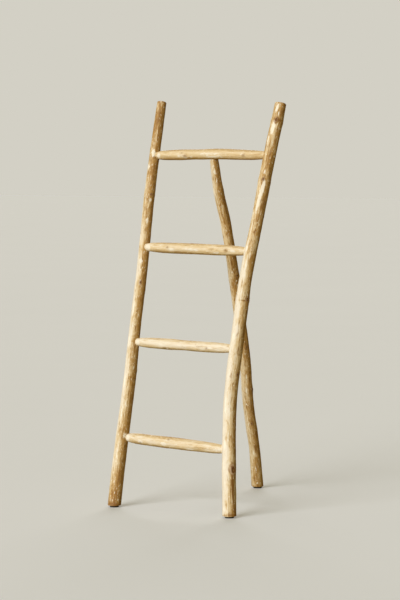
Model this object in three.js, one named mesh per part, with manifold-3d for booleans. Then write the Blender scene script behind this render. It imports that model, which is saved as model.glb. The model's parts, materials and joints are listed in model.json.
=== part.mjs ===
// A free-standing ladder rack made from peeled branches: two leaning rails, four
// rungs with shaved ends, and a prop leg that swings with the top rung.
// Millimetres, +Z up. +X runs across the rack, +Y runs back towards the prop leg.
// The origin is on the floor, in the middle of the space that the rack takes up.

import * as THREE from 'three';
import { mergeVertices } from 'three/addons/utils/BufferGeometryUtils.js';
import Module from 'manifold-3d';

// Overall sizes
const RACK_HEIGHT = 1521;          // floor to the head of the left rail, the taller one
const RIGHT_HEAD_DROP = 12;        // the right rail's head sits this much lower
const FOOT_SPACING = 497;          // between the centres of the rails' feet
const HEAD_SPACING = 521;          // between the centres of the rails' heads
const LEAN_BACK = 363;             // how far the heads lie behind the feet
const LEG_REACH = 693;             // how far the leg's foot lies behind the rails' feet
const LEG_FOOT_SIDE = -20;         // the leg's foot, sideways from the middle
const LEG_HEAD_SIDE = -3;          // the leg's head, sideways from the middle

// Rungs
const TOP_RUNG_DROP = 205;         // the top rung's axis below the left rail's head
const TOP_RUNG_BOW = 4;            // how far the middle of the top rung rises
const BOTTOM_RUNG_HEIGHT = 248;
const RUNG_INTERVALS = 3;
const NECK_DIAMETER = 27.5;        // a rung just inside its rails
const NECK_LENGTH = 8;             // from the tenon's end to the full neck
const CONE_LENGTH = 66;            // the shaved length at each end of a rung
const CONE_FULLNESS = 1;           // how far a cone swells outside a straight taper

// Joinery
const CLEARANCE = 0.3;             // gap left between pieces that fit together
const TENON_DIAMETER = 25;         // the round ends of the rungs
const TENON_PAST_AXIS = 4;         // a tenon reaches this far beyond its rail's axis
const TENON_STANDOFF = 2.5;        // a tenon runs this far out of its rail
const LEG_TENON_DIAMETER = 20;
const LEG_TENON_PAST_AXIS = 11;    // the leg's tenon reaches this far past the rung's axis
const LEG_TENON_ROOT = 30;         // where the leg's tenon starts, under the rung's axis
const FOLD_TRAVEL = THREE.MathUtils.degToRad(25);

// Fasteners, all driven from behind
const FASTENER_INSET = 5;          // from a rail's axis towards the rungs
const FASTENER_SINK = 0.8;         // how far a fastener's head lies under the surface
const NAIL_DIAMETER = 3.4;
const NAIL_HEAD_DIAMETER = 6.5;
const NAIL_HEAD_THICKNESS = 1.6;
const NAIL_LENGTH = 30;
const NAIL_POINT = 4;
const STOP_PIN_DIAMETER = 5;
const STOP_GROOVE_DEPTH = 4;
const PEG_DIAMETER = 8;
const PEG_PAST_TENON = 4;          // the peg reaches this far past the leg's tenon

// Foot pads
const PAD_DIAMETER = 34;
const PAD_THICKNESS = 6;
const PAD_EDGE = 1;
const PAD_RECESS_DEPTH = 3.3;
const SCREW_HEAD_DIAMETER = 8;
const SCREW_HEAD_THICKNESS = 1.8;
const SCREW_DIAMETER = 3.5;
const SCREW_LENGTH = 26;
const SCREW_POINT = 4;
const SCREW_SLOT_WIDTH = 1.2;
const SCREW_SLOT_DEPTH = 0.8;

// Facets
const POLE_SIDES = 16;
const POLE_STEP = 60;              // between rings along a rail or the leg
const RUNG_STEP = 45;
const BORE_SIDES = 20;
const FASTENER_SIDES = 12;
const PAD_SIDES = 24;
const ARC_SEGMENTS = 8;
const HEAD_EASE = 2;               // the softened edge of a sawn head

const ACROSS = new THREE.Vector3(1, 0, 0);
const BACK = new THREE.Vector3(0, 1, 0);
const UP = new THREE.Vector3(0, 0, 1);
const FOOT_Z = PAD_THICKNESS + CLEARANCE;

// A pole's bends are [fraction of its length, sideways, backwards] from the straight
// line between its ends. Its girths are [fraction of its length, diameter].
const leftRail = {
  foot: new THREE.Vector3(-FOOT_SPACING / 2, 0, FOOT_Z),
  head: new THREE.Vector3(-HEAD_SPACING / 2, LEAN_BACK, RACK_HEIGHT),
  bends: [[0.15, -4, 4], [0.3, -3, 7], [0.45, -7, 9], [0.6, -7, 9], [0.8, -10, 6]],
  girths: [[0, 50], [0.1, 50], [0.2, 48], [0.35, 46], [0.5, 43], [0.7, 40.5],
    [0.86, 39], [0.95, 36.5], [1, 35.5]],
};
const rightRail = {
  foot: new THREE.Vector3(FOOT_SPACING / 2, 0, FOOT_Z),
  head: new THREE.Vector3(HEAD_SPACING / 2, LEAN_BACK, RACK_HEIGHT - RIGHT_HEAD_DROP),
  bends: [[0.14, -29, -6], [0.28, -50, -12], [0.44, -51, -14], [0.58, -49, -12],
    [0.72, -33, -8], [0.86, -19, -4]],
  girths: [[0, 51], [0.12, 51.5], [0.18, 49.5], [0.28, 49], [0.36, 51], [0.46, 49.3],
    [0.52, 50.3], [0.56, 47], [0.62, 48], [0.68, 45.5], [0.86, 47], [0.96, 46], [1, 42.5]],
};
const legBends = [[0.12, 4, 8], [0.26, 3, 8], [0.4, 6, 24], [0.56, 6, 25], [0.7, 6, 22],
  [0.8, 4, 18], [0.9, 0, 2]];
const legGirths = [[0, 47], [0.06, 44.5], [0.12, 42.5], [0.19, 43.5], [0.27, 43],
  [0.36, 44], [0.7, 40], [0.9, 40], [0.95, 36.5], [0.98, 33], [1, 33]];

// A fixed rung's ends rise, and set back from the rails' axes, by [left, right] from
// even spacing. A belly is [fraction of the way between the two cones, diameter].
const fixedRungs = {
  bottom: { step: 0, rise: [8, -8], back: [6, 0], belly: [[0, 42], [0.3, 44], [0.7, 43], [1, 40]] },
  lower: { step: 1, rise: [6, 0], back: [0, 0], belly: [[0, 40], [0.3, 41], [0.5, 37], [1, 40]] },
  upper: { step: 2, rise: [7, 0], back: [-3, 0], belly: [[0, 41], [0.4, 42.5], [0.8, 42], [1, 39]] },
};
const topBelly = [[0, 39.5], [0.12, 41.5], [0.3, 39], [0.55, 41], [0.8, 39], [1, 37.5]];

const wood = { color: 0xcfae78, roughness: 0.75, metalness: 0 };
const paleWood = { color: 0xe0c391, roughness: 0.7, metalness: 0 };
const steel = { color: 0x8a8a86, roughness: 0.45, metalness: 1 };
const rubber = { color: 0x141414, roughness: 0.85, metalness: 0 };

// ---------------------------------------------------------------- solids

const wasm = await Module();
wasm.setup();

// A geometry's corners and triangles alone, with shared corners merged.
function bareGeometry(geometry) {
  const bare = new THREE.BufferGeometry();
  bare.setAttribute('position', geometry.getAttribute('position'));
  if (geometry.index) bare.setIndex(geometry.index);
  const merged = mergeVertices(bare, 1e-4);
  const corners = [];
  for (let i = 0; i < merged.index.count; i += 3) {
    const [a, b, c] = [0, 1, 2].map((k) => merged.index.getX(i + k));
    if (a !== b && b !== c && c !== a) corners.push(a, b, c);
  }
  merged.setIndex(corners);
  return merged;
}

function toSolid(geometry) {
  const bare = bareGeometry(geometry);
  return new wasm.Manifold(new wasm.Mesh({
    numProp: 3,
    vertProperties: new Float32Array(bare.attributes.position.array),
    triVerts: new Uint32Array(bare.index.array),
  }));
}

function toGeometry(solid) {
  const result = solid.getMesh();
  const geometry = new THREE.BufferGeometry();
  geometry.setAttribute('position', new THREE.BufferAttribute(result.vertProperties, 3));
  geometry.setIndex(new THREE.BufferAttribute(result.triVerts, 1));
  geometry.computeVertexNormals();
  return geometry;
}

function cut(solid, tools) {
  return tools.reduce((rest, tool) => rest.subtract(tool), solid);
}

function makeMesh(name, solid, finish) {
  const mesh = new THREE.Mesh(toGeometry(solid), new THREE.MeshStandardMaterial(finish));
  mesh.name = name;
  return mesh;
}

// ---------------------------------------------------------------- curves and round bars

// The value at a place in a list of [place, value], straight between its entries.
function valueAt(pairs, place) {
  const next = pairs.findIndex(([at]) => at >= place);
  if (next < 0) return pairs[pairs.length - 1][1];
  if (next === 0) return pairs[0][1];
  const [before, low] = pairs[next - 1];
  const [after, high] = pairs[next];
  return low + ((high - low) * (place - before)) / (after - before);
}

function bentLine({ foot, head, bends }) {
  const middle = bends.map(([fraction, side, back]) => (
    foot.clone().lerp(head, fraction).add(new THREE.Vector3(side, back, 0))
  ));
  return new THREE.CatmullRomCurve3([foot, ...middle, head], false, 'catmullrom', 0.5);
}

// A line that rises in its middle and is straight for a length at each end.
class BowedLine extends THREE.Curve {
  constructor(from, to, straight, rise) {
    super();
    this.from = from;
    this.to = to;
    this.straight = straight / from.distanceTo(to);
    this.rise = rise;
  }

  getPoint(t, target = new THREE.Vector3()) {
    const bent = THREE.MathUtils.clamp((t - this.straight) / (1 - 2 * this.straight), 0, 1);
    const lift = this.rise * Math.sin(Math.PI * bent) ** 2;
    return target.lerpVectors(this.from, this.to, t).addScaledVector(UP, lift);
  }
}

// The middle of a curve's bar at a distance along it, running on straight beyond the
// curve's ends, with the two directions that its round section is drawn in.
function stationAt(curve, distance, sideways) {
  const length = curve.getLength();
  const fraction = THREE.MathUtils.clamp(distance / length, 0, 1);
  const tangent = curve.getTangentAt(fraction);
  const centre = curve.getPointAt(fraction)
    .addScaledVector(tangent, distance - fraction * length);
  const side = sideways.clone().addScaledVector(tangent, -sideways.dot(tangent)).normalize();
  const back = side.clone().cross(tangent);
  return { centre, tangent, side, back };
}

// A round bar along a curve, from a profile of [distance, radius].
function barAlong(curve, profile, sideways, sides) {
  const outline = [
    new THREE.Vector2(0, profile[0][0]),
    ...profile.map(([distance, radius]) => new THREE.Vector2(radius, distance)),
    new THREE.Vector2(0, profile[profile.length - 1][0]),
  ];
  const geometry = new THREE.LatheGeometry(outline, sides);
  const position = geometry.getAttribute('position');
  const corner = new THREE.Vector3();
  for (let i = 0; i < position.count; i += 1) {
    corner.fromBufferAttribute(position, i);
    const { centre, side, back } = stationAt(curve, corner.y, sideways);
    centre.addScaledVector(side, corner.x).addScaledVector(back, corner.z);
    position.setXYZ(i, centre.x, centre.y, centre.z);
  }
  return toSolid(geometry);
}

// A straight round bar from a point, from a profile of [distance, radius].
function straightBar(origin, direction, profile, sides) {
  const sideways = Math.abs(direction.x) > 0.5 ? BACK : ACROSS;
  const line = new THREE.LineCurve3(origin, origin.clone().add(direction));
  return barAlong(line, profile, sideways, sides);
}

// A round hole for a bar of this diameter, from one distance to another.
function bore(origin, direction, from, to, diameter, sides) {
  const radius = diameter / 2 + CLEARANCE;
  return straightBar(origin, direction, [[from, radius], [to, radius]], sides);
}

// ---------------------------------------------------------------- layout

const leftLine = bentLine(leftRail);
const rightLine = bentLine(rightRail);

// A rail where it passes a height: its axis, its radius, and the direction behind it
// that is square to the rail and to the rack's width.
function railAt(rail, line, height) {
  let low = 0;
  let high = line.getLength();
  while (high - low > 0.001) {
    const middle = (low + high) / 2;
    if (stationAt(line, middle, ACROSS).centre.z < height) low = middle;
    else high = middle;
  }
  const { centre, tangent } = stationAt(line, low, ACROSS);
  const behind = tangent.clone().cross(ACROSS).normalize();
  const radius = valueAt(rail.girths, low / line.getLength()) / 2;
  return { centre, behind, radius };
}

function rungPlace(height, rise, back) {
  const left = railAt(leftRail, leftLine, height + rise[0]);
  const right = railAt(rightRail, rightLine, height + rise[1]);
  const leftEnd = left.centre.clone().addScaledVector(BACK, back[0]);
  const rightEnd = right.centre.clone().addScaledVector(BACK, back[1]);
  return { left, right, leftEnd, rightEnd };
}

const topRungHeight = RACK_HEIGHT - TOP_RUNG_DROP;
const rungInterval = (topRungHeight - BOTTOM_RUNG_HEIGHT) / RUNG_INTERVALS;

// The top rung turns in the rails, so it lies straight across, and it splits the
// difference between the rails' own set-backs.
function topRungPlace() {
  const place = rungPlace(topRungHeight, [0, 0], [0, 0]);
  const pivotY = (place.leftEnd.y + place.rightEnd.y) / 2;
  place.leftEnd.y = pivotY;
  place.rightEnd.y = pivotY;
  return place;
}

const topPlace = topRungPlace();
const fixedPlaces = Object.values(fixedRungs).map(({ step, rise, back }) => (
  rungPlace(BOTTOM_RUNG_HEIGHT + step * rungInterval, rise, back)
));

const legLine = bentLine({
  foot: new THREE.Vector3(LEG_FOOT_SIDE, LEG_REACH, FOOT_Z),
  head: new THREE.Vector3(LEG_HEAD_SIDE, topPlace.leftEnd.y, topRungHeight),
  bends: legBends,
});
const legTop = stationAt(legLine, legLine.getLength(), ACROSS);

// ---------------------------------------------------------------- rungs

// A rung's profile: round tenons, necks just inside the rails, shaved cones, a belly.
function rungProfile(length, neckLeft, neckRight, belly) {
  const tenon = TENON_DIAMETER / 2;
  const end = (place, inward, girth) => [
    [place, tenon],
    [place + inward * NECK_LENGTH, NECK_DIAMETER / 2],
    [place + (inward * CONE_LENGTH) / 2, (NECK_DIAMETER + girth) / 4 + CONE_FULLNESS],
  ];
  const bellyStart = neckLeft + CONE_LENGTH;
  const bellyLength = neckRight - CONE_LENGTH - bellyStart;
  const count = Math.ceil(bellyLength / RUNG_STEP);
  const middle = Array.from({ length: count + 1 }, (_, i) => (
    [bellyStart + (bellyLength * i) / count, valueAt(belly, i / count) / 2]
  ));
  return [
    [0, tenon],
    ...end(neckLeft, 1, belly[0][1]),
    ...middle,
    ...end(neckRight, -1, belly[belly.length - 1][1]).reverse(),
    [length, tenon],
  ];
}

// A rung between its rails, thicker all round by the given margin.
function rungSolid({ left, right, leftEnd, rightEnd }, belly, bow, margin) {
  const along = rightEnd.clone().sub(leftEnd).normalize();
  const from = leftEnd.clone().addScaledVector(along, -TENON_PAST_AXIS);
  const to = rightEnd.clone().addScaledVector(along, TENON_PAST_AXIS);
  const neckLeft = TENON_PAST_AXIS + left.radius + TENON_STANDOFF;
  const line = new BowedLine(from, to, neckLeft, bow);
  const length = line.getLength();
  const neckRight = length - TENON_PAST_AXIS - right.radius - TENON_STANDOFF;
  const profile = rungProfile(length, neckLeft, neckRight, belly)
    .map(([distance, radius]) => [distance, radius + margin]);
  return barAlong(line, profile, BACK, POLE_SIDES);
}

// The two holes that a rung's tenons fill, left and right.
function mortises({ left, right, leftEnd, rightEnd }) {
  const along = rightEnd.clone().sub(leftEnd).normalize();
  const blindEnd = -TENON_PAST_AXIS - CLEARANCE;
  const outward = (rail) => 2 * rail.radius + TENON_STANDOFF;
  return [
    bore(leftEnd, along, blindEnd, outward(left), TENON_DIAMETER, BORE_SIDES),
    bore(rightEnd, along.clone().negate(), blindEnd, outward(right), TENON_DIAMETER, BORE_SIDES),
  ];
}

// ---------------------------------------------------------------- fasteners

// Where a fastener enters a rail from behind to reach a rung's tenon: its head's place
// and its way in. Its line crosses the tenon's axis.
function fastenerPlace(rail, tenonEnd, inward) {
  const onAxis = tenonEnd.clone().addScaledVector(inward, FASTENER_INSET);
  const offset = rail.centre.clone().sub(onAxis).dot(rail.behind);
  const depth = Math.sqrt(rail.radius ** 2 - FASTENER_INSET ** 2) + offset - FASTENER_SINK;
  const head = onAxis.clone().addScaledVector(rail.behind, depth);
  return { head, depth, wayIn: rail.behind.clone().negate() };
}

const nailShape = [
  [0, NAIL_HEAD_DIAMETER / 2],
  [NAIL_HEAD_THICKNESS, NAIL_HEAD_DIAMETER / 2],
  [NAIL_HEAD_THICKNESS, NAIL_DIAMETER / 2],
  [NAIL_LENGTH - NAIL_POINT, NAIL_DIAMETER / 2],
  [NAIL_LENGTH, NAIL_DIAMETER / 8],
];
const nailHoleShape = [
  [-NAIL_HEAD_DIAMETER, NAIL_HEAD_DIAMETER / 2 + CLEARANCE],
  [NAIL_HEAD_THICKNESS + CLEARANCE, NAIL_HEAD_DIAMETER / 2 + CLEARANCE],
  [NAIL_HEAD_THICKNESS + CLEARANCE, NAIL_DIAMETER / 2 + CLEARANCE],
  [NAIL_LENGTH + CLEARANCE, NAIL_DIAMETER / 2 + CLEARANCE],
];

function nailAt({ head, wayIn }) {
  return {
    solid: straightBar(head, wayIn, nailShape, FASTENER_SIDES),
    hole: straightBar(head, wayIn, nailHoleShape, FASTENER_SIDES),
  };
}

// A stop pin ends in the groove of a tenon that turns.
function stopPinAt({ head, wayIn, depth }) {
  const grooveFloor = TENON_DIAMETER / 2 - STOP_GROOVE_DEPTH;
  const length = depth - grooveFloor - CLEARANCE;
  const radius = STOP_PIN_DIAMETER / 2;
  return {
    solid: straightBar(head, wayIn, [[0, radius], [length, radius]], FASTENER_SIDES),
    hole: bore(head, wayIn, -STOP_PIN_DIAMETER, length, STOP_PIN_DIAMETER, FASTENER_SIDES),
  };
}

// The groove that lets a tenon turn by the fold's travel past its stop pin.
function stopGroove(rail, tenonEnd, inward) {
  const floor = TENON_DIAMETER / 2 - STOP_GROOVE_DEPTH;
  const outside = TENON_DIAMETER / 2 + CLEARANCE;
  const halfPin = Math.asin((STOP_PIN_DIAMETER / 2 + CLEARANCE) / floor);
  const start = -halfPin;
  const end = FOLD_TRAVEL + halfPin;
  const sector = new THREE.Shape();
  sector.absarc(0, 0, outside, start, end, false);
  sector.absarc(0, 0, floor, end, start, true);
  const width = STOP_PIN_DIAMETER + 2 * CLEARANCE;
  const groove = new THREE.ExtrudeGeometry(sector, {
    depth: width, bevelEnabled: false, curveSegments: ARC_SEGMENTS,
  });
  const centre = tenonEnd.clone().addScaledVector(inward, FASTENER_INSET);
  const basis = new THREE.Matrix4()
    .makeBasis(rail.behind, ACROSS.clone().cross(rail.behind), ACROSS)
    .setPosition(centre.addScaledVector(ACROSS, -width / 2));
  groove.applyMatrix4(basis);
  return toSolid(groove);
}

// ---------------------------------------------------------------- poles

// A pole from just under its foot to its head, in even steps. A sawn head is eased.
function poleSolid(line, girths, sawnHead) {
  const length = line.getLength();
  const start = -PAD_DIAMETER;
  const end = sawnHead ? length - HEAD_EASE : length;
  const count = Math.ceil((end - start) / POLE_STEP);
  const profile = Array.from({ length: count + 1 }, (_, i) => {
    const distance = start + ((end - start) * i) / count;
    return [distance, valueAt(girths, distance / length) / 2];
  });
  if (sawnHead) profile.push([length, valueAt(girths, 1) / 2 - HEAD_EASE]);
  return barAlong(line, profile, ACROSS, POLE_SIDES);
}

// Everything under the level that the feet are sawn to.
function belowFeet() {
  const size = 2 * (RACK_HEIGHT + LEG_REACH);
  const block = new THREE.BoxGeometry(size, size, size);
  block.translate(0, 0, FOOT_Z - size / 2);
  return toSolid(block);
}

// ---------------------------------------------------------------- foot pads

function padSolid() {
  const outer = PAD_DIAMETER / 2;
  const recess = SCREW_HEAD_DIAMETER / 2 + CLEARANCE;
  const hole = SCREW_DIAMETER / 2 + CLEARANCE;
  const outline = [
    [recess, 0], [outer - PAD_EDGE, 0], [outer, PAD_EDGE], [outer, PAD_THICKNESS - PAD_EDGE],
    [outer - PAD_EDGE, PAD_THICKNESS], [hole, PAD_THICKNESS], [hole, PAD_RECESS_DEPTH],
    [recess, PAD_RECESS_DEPTH], [recess, 0],
  ].map(([radius, height]) => new THREE.Vector2(radius, height));
  const geometry = new THREE.LatheGeometry(outline, PAD_SIDES);
  geometry.rotateX(Math.PI / 2);
  return toSolid(geometry);
}

// A slotted screw, its head down in the pad's recess.
function screwSolid() {
  const head = PAD_RECESS_DEPTH - CLEARANCE - SCREW_HEAD_THICKNESS;
  const neck = head + SCREW_HEAD_THICKNESS;
  const screw = straightBar(new THREE.Vector3(), UP, [
    [head, SCREW_HEAD_DIAMETER / 2],
    [neck, SCREW_HEAD_DIAMETER / 2],
    [neck, SCREW_DIAMETER / 2],
    [neck + SCREW_LENGTH - SCREW_POINT, SCREW_DIAMETER / 2],
    [neck + SCREW_LENGTH, SCREW_DIAMETER / 8],
  ], FASTENER_SIDES);
  const slot = new THREE.BoxGeometry(2 * SCREW_HEAD_DIAMETER, SCREW_SLOT_WIDTH, 2 * SCREW_SLOT_DEPTH);
  slot.translate(0, 0, head);
  return screw.subtract(toSolid(slot));
}

// The hole that a pad's screw needs in the foot above it.
function screwHole(foot) {
  const reach = PAD_RECESS_DEPTH + SCREW_LENGTH - FOOT_Z;
  return bore(foot, UP, -PAD_DIAMETER, reach, SCREW_DIAMETER, FASTENER_SIDES);
}

// ---------------------------------------------------------------- assembly

const rack = new THREE.Group();
const inwardLeft = ACROSS;
const inwardRight = ACROSS.clone().negate();
const leftCuts = [belowFeet(), screwHole(leftRail.foot)];
const rightCuts = [belowFeet(), screwHole(rightRail.foot)];

// The three rungs that are nailed into the rails
Object.entries(fixedRungs).forEach(([name, { belly }], i) => {
  const place = fixedPlaces[i];
  const { left, right, leftEnd, rightEnd } = place;
  const nailLeft = nailAt(fastenerPlace(left, leftEnd, inwardLeft));
  const nailRight = nailAt(fastenerPlace(right, rightEnd, inwardRight));
  const [mortiseLeft, mortiseRight] = mortises(place);
  leftCuts.push(mortiseLeft, nailLeft.hole);
  rightCuts.push(mortiseRight, nailRight.hole);
  const rung = cut(rungSolid(place, belly, 0, 0), [nailLeft.hole, nailRight.hole]);
  rack.add(
    makeMesh(`rung_${name}`, rung, paleWood),
    makeMesh(`nail_${name}_left`, nailLeft.solid, steel),
    makeMesh(`nail_${name}_right`, nailRight.solid, steel),
  );
});

// The top rung, which turns in the rails between its stop pins
const pinLeft = stopPinAt(fastenerPlace(topPlace.left, topPlace.leftEnd, inwardLeft));
const pinRight = stopPinAt(fastenerPlace(topPlace.right, topPlace.rightEnd, inwardRight));
const [topMortiseLeft, topMortiseRight] = mortises(topPlace);
leftCuts.push(topMortiseLeft, pinLeft.hole);
rightCuts.push(topMortiseRight, pinRight.hole);

// The peg that locks the prop leg's tenon in the top rung
const legBehind = legTop.tangent.clone().cross(ACROSS).normalize();
const topGirth = valueAt(topBelly, 0.5);
const pegDepth = topGirth / 2 - FASTENER_SINK;
const pegLength = pegDepth + LEG_TENON_DIAMETER / 2 + PEG_PAST_TENON;
const pegHead = legTop.centre.clone().addScaledVector(legBehind, pegDepth);
const pegWayIn = legBehind.clone().negate();
const pegShape = [[0, PEG_DIAMETER / 2], [pegLength, PEG_DIAMETER / 2]];
const peg = straightBar(pegHead, pegWayIn, pegShape, BORE_SIDES);
const pegHole = bore(pegHead, pegWayIn, -PEG_DIAMETER, pegLength + CLEARANCE, PEG_DIAMETER, BORE_SIDES);

const legSocket = bore(
  legTop.centre,
  legTop.tangent,
  -LEG_TENON_ROOT,
  LEG_TENON_PAST_AXIS + CLEARANCE,
  LEG_TENON_DIAMETER,
  BORE_SIDES,
);
const topRung = cut(rungSolid(topPlace, topBelly, TOP_RUNG_BOW, 0), [
  stopGroove(topPlace.left, topPlace.leftEnd, inwardLeft),
  stopGroove(topPlace.right, topPlace.rightEnd, inwardRight),
  legSocket,
  pegHole,
]);

// The prop leg: its shaft stops under the rung, and its tenon goes up into it
const legTenon = straightBar(legTop.centre, legTop.tangent, [
  [-LEG_TENON_ROOT, LEG_TENON_DIAMETER / 2],
  [LEG_TENON_PAST_AXIS, LEG_TENON_DIAMETER / 2],
], BORE_SIDES);
const legShaft = poleSolid(legLine, legGirths, false)
  .subtract(rungSolid(topPlace, topBelly, TOP_RUNG_BOW, CLEARANCE));
const leg = cut(legShaft.add(legTenon), [belowFeet(), screwHole(legLine.points[0]), pegHole]);

rack.add(
  makeMesh('rail_left', cut(poleSolid(leftLine, leftRail.girths, true), leftCuts), wood),
  makeMesh('rail_right', cut(poleSolid(rightLine, rightRail.girths, true), rightCuts), wood),
  makeMesh('rung_top', topRung, paleWood),
  makeMesh('prop_leg', leg, wood),
  makeMesh('stop_pin_left', pinLeft.solid, steel),
  makeMesh('stop_pin_right', pinRight.solid, steel),
  makeMesh('leg_peg', peg, wood),
);

// A pad and its screw under each foot
const feet = { left: leftRail.foot, right: rightRail.foot, rear: legLine.points[0] };
Object.entries(feet).forEach(([name, foot]) => {
  const pad = makeMesh(`foot_pad_${name}`, padSolid(), rubber);
  const screw = makeMesh(`pad_screw_${name}`, screwSolid(), steel);
  pad.position.set(foot.x, foot.y, 0);
  screw.position.set(foot.x, foot.y, 0);
  rack.add(pad, screw);
});

// Put the origin on the floor, in the middle of the rack's box.
const middle = new THREE.Box3().setFromObject(rack).getCenter(new THREE.Vector3());
rack.position.set(-middle.x, -middle.y, 0);

export default rack;
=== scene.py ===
"""A ladder rack of peeled branches: its shaved and knotted wood, joints, nails and feet."""

import functools
import json
import math
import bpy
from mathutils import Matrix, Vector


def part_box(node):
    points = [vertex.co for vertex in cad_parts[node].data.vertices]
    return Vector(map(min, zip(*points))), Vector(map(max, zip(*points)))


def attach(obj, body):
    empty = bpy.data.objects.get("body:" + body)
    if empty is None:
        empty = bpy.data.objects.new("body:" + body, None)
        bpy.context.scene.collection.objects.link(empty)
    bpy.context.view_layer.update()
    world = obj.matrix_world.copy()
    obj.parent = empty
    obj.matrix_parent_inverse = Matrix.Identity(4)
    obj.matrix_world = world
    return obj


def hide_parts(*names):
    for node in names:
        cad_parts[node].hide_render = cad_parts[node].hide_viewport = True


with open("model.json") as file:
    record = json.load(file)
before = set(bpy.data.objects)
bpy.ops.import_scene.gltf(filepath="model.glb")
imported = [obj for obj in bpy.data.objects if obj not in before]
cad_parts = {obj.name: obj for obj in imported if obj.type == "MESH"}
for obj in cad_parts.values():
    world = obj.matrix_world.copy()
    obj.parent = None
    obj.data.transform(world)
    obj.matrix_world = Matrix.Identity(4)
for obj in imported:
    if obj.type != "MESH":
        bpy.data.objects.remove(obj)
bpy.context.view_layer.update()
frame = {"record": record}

from types import SimpleNamespace

import bpy
import numpy as np
from bpy.props import FloatProperty, FloatVectorProperty, IntProperty, PointerProperty
from mathutils import Vector

bl_info = {
    "name": "Peeled branch ladder rack",
    "version": (1, 0, 0),
    "blender": (4, 5, 0),
    "location": "3D View > Sidebar > Ladder rack",
    "description": "Makes a ladder rack of peeled branches with a folding prop leg",
    "category": "Object",
}

MM = 0.001
ACROSS = np.array((1.0, 0.0, 0.0))
DOWN = np.array((0.0, 0.0, -1.0))
UP = np.array((0.0, 0.0, 1.0))
CLEARANCE = 0.3 * MM          # between pieces that fit together
FULL_TURN = 2 * math.pi


def srgb(red, green, blue):
    """A paint chart's 0 to 255 colour as the linear values that shaders use."""
    def channel(value):
        value /= 255
        return value / 12.92 if value <= 0.04045 else ((value + 0.055) / 1.055) ** 2.4
    return channel(red), channel(green), channel(blue)


# ------------------------------------------------------------------ the rack's sizes

RAIL_HEAD_HEIGHTS = {"left": 1521 * MM, "right": 1509 * MM}
HEAD_SPLAY = 12 * MM          # a rail's head stands this much further out than its foot
LEAN_BACK = 363 * MM          # how far the heads lie behind the feet
TOP_RUNG_DROP = 205 * MM      # the top rung's axis below the left rail's head
TOP_RUNG_BOW = 4 * MM
BOTTOM_RUNG_HEIGHT = 248 * MM
RUNG_INTERVALS = 3

# A rung runs from a tenon through a rounded nose and a neck into a shaved cone.
NECK_DIAMETER = 29 * MM
NOSE_REACH = 14 * MM          # a nose begins and ends this far before and past the neck
CONE_LENGTH = 66 * MM
CONE_FULLNESS = 0.55          # under 1, a cone swells outside a straight taper
TENON_DIAMETER = 25 * MM
TENON_PAST_AXIS = 4 * MM      # a tenon reaches this far beyond its rail's axis
TENON_STANDOFF = 2.5 * MM     # a neck begins this far outside its rail
LEG_TENON_DIAMETER = 20 * MM
LEG_TENON_PAST_AXIS = 11 * MM
LEG_SOCKET_START = 30 * MM    # the socket's cutter starts this far under the rung's axis
LEG_SIDE = -3 * MM            # the leg's head, sideways from the middle of the feet
LEG_FOLD = math.radians(25)

SHAVING_START = 2 * MM        # past its neck, a rung's surface turns from smooth to shaved
SHAVING_FADE = 14 * MM        # and is all shaved after this much more

FASTENER_INSET = 5 * MM       # from a rail's axis towards the rungs
FASTENER_SINK = 0.8 * MM
NAIL_RADIUS = 1.7 * MM
NAIL_HEAD_RADIUS = 3.25 * MM
NAIL_HEAD_THICKNESS = 1.6 * MM
NAIL_LENGTH = 30 * MM
STOP_PIN_RADIUS = 2.5 * MM
STOP_GROOVE_DEPTH = 4 * MM
STOP_GROOVE_FLOOR = TENON_DIAMETER / 2 - STOP_GROOVE_DEPTH
PEG_RADIUS = 4 * MM
PEG_PAST_TENON = 4 * MM
CUTTER_RUNOUT = 8 * MM        # how far a hole's cutter sticks out of the wood
SIDES = ("left", "right")

# Facets are (number of drawknife flats, shortest and longest half length).
POLE_FACETS = (95, 30 * MM, 95 * MM)
LEG_FACETS = (90, 30 * MM, 90 * MM)
RUNG_FACETS = (46, 22 * MM, 60 * MM)
CONE_FLATS = 9                # long flats round each cone

# Swellings are (strength, (size across, across, along)), from coarse to fine.
SWELLINGS = ((1.15, (0.03, 0.03, 0.11)), (0.45, (0.011, 0.011, 0.04)),
             (0.16, (0.005, 0.005, 0.022)))
FLAT_REACH = 1.2              # radians to each side of a drawknife flat's middle
FLAT_SOFTNESS = 0.12 * MM
KNOT_LENGTH = 1.5             # how much longer a knot is than it is wide
NO_KNOT = 4.0                 # the knot marking where none is near, in knot radii
MOST_MARKING = 1.6
FINEST_STEP = 0.3 * MM        # rings of points are never closer than this

# Faces are shown as sawn within these lengths of a line's start and end, where they face
# along it more than this.
SAWN_START, SAWN_END = 9 * MM, 3 * MM
SAWN_FACING = 0.85

# How the ends are cut.
TENON_EDGE = 1 * MM
SAW_WANDER = 0.5 * MM         # how far a sawn head is from square
HEAD_DOME = 0.35 * MM         # how far a sawn head's middle stands out
END_FADE = 50 * MM            # over this length, rings turn from square to an end's cut
CAP_SHARES = (1, 0.94, 0.8, 0.62, 0.42, 0.2)  # an end's rings, as shares of its edge's
TENON_CAP_SHARES = (0.92, 0.5)
PIN_HOLE_STOP = 4 * MM        # a stop pin's hole ends this far from its rung's axis
SOCKET_DEPTH = 46 * MM        # a mortise's cutter is this long
SEAM_NEAR, SEAM_FAR = 4 * MM, 42 * MM  # a rung leaves its rail between these distances

# The stage.
FLOOR_REACH = 60.0
LAMP_DISTANCE = 4.0
SENSOR_WIDTH = 36             # in millimetres, as Blender has it

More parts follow.
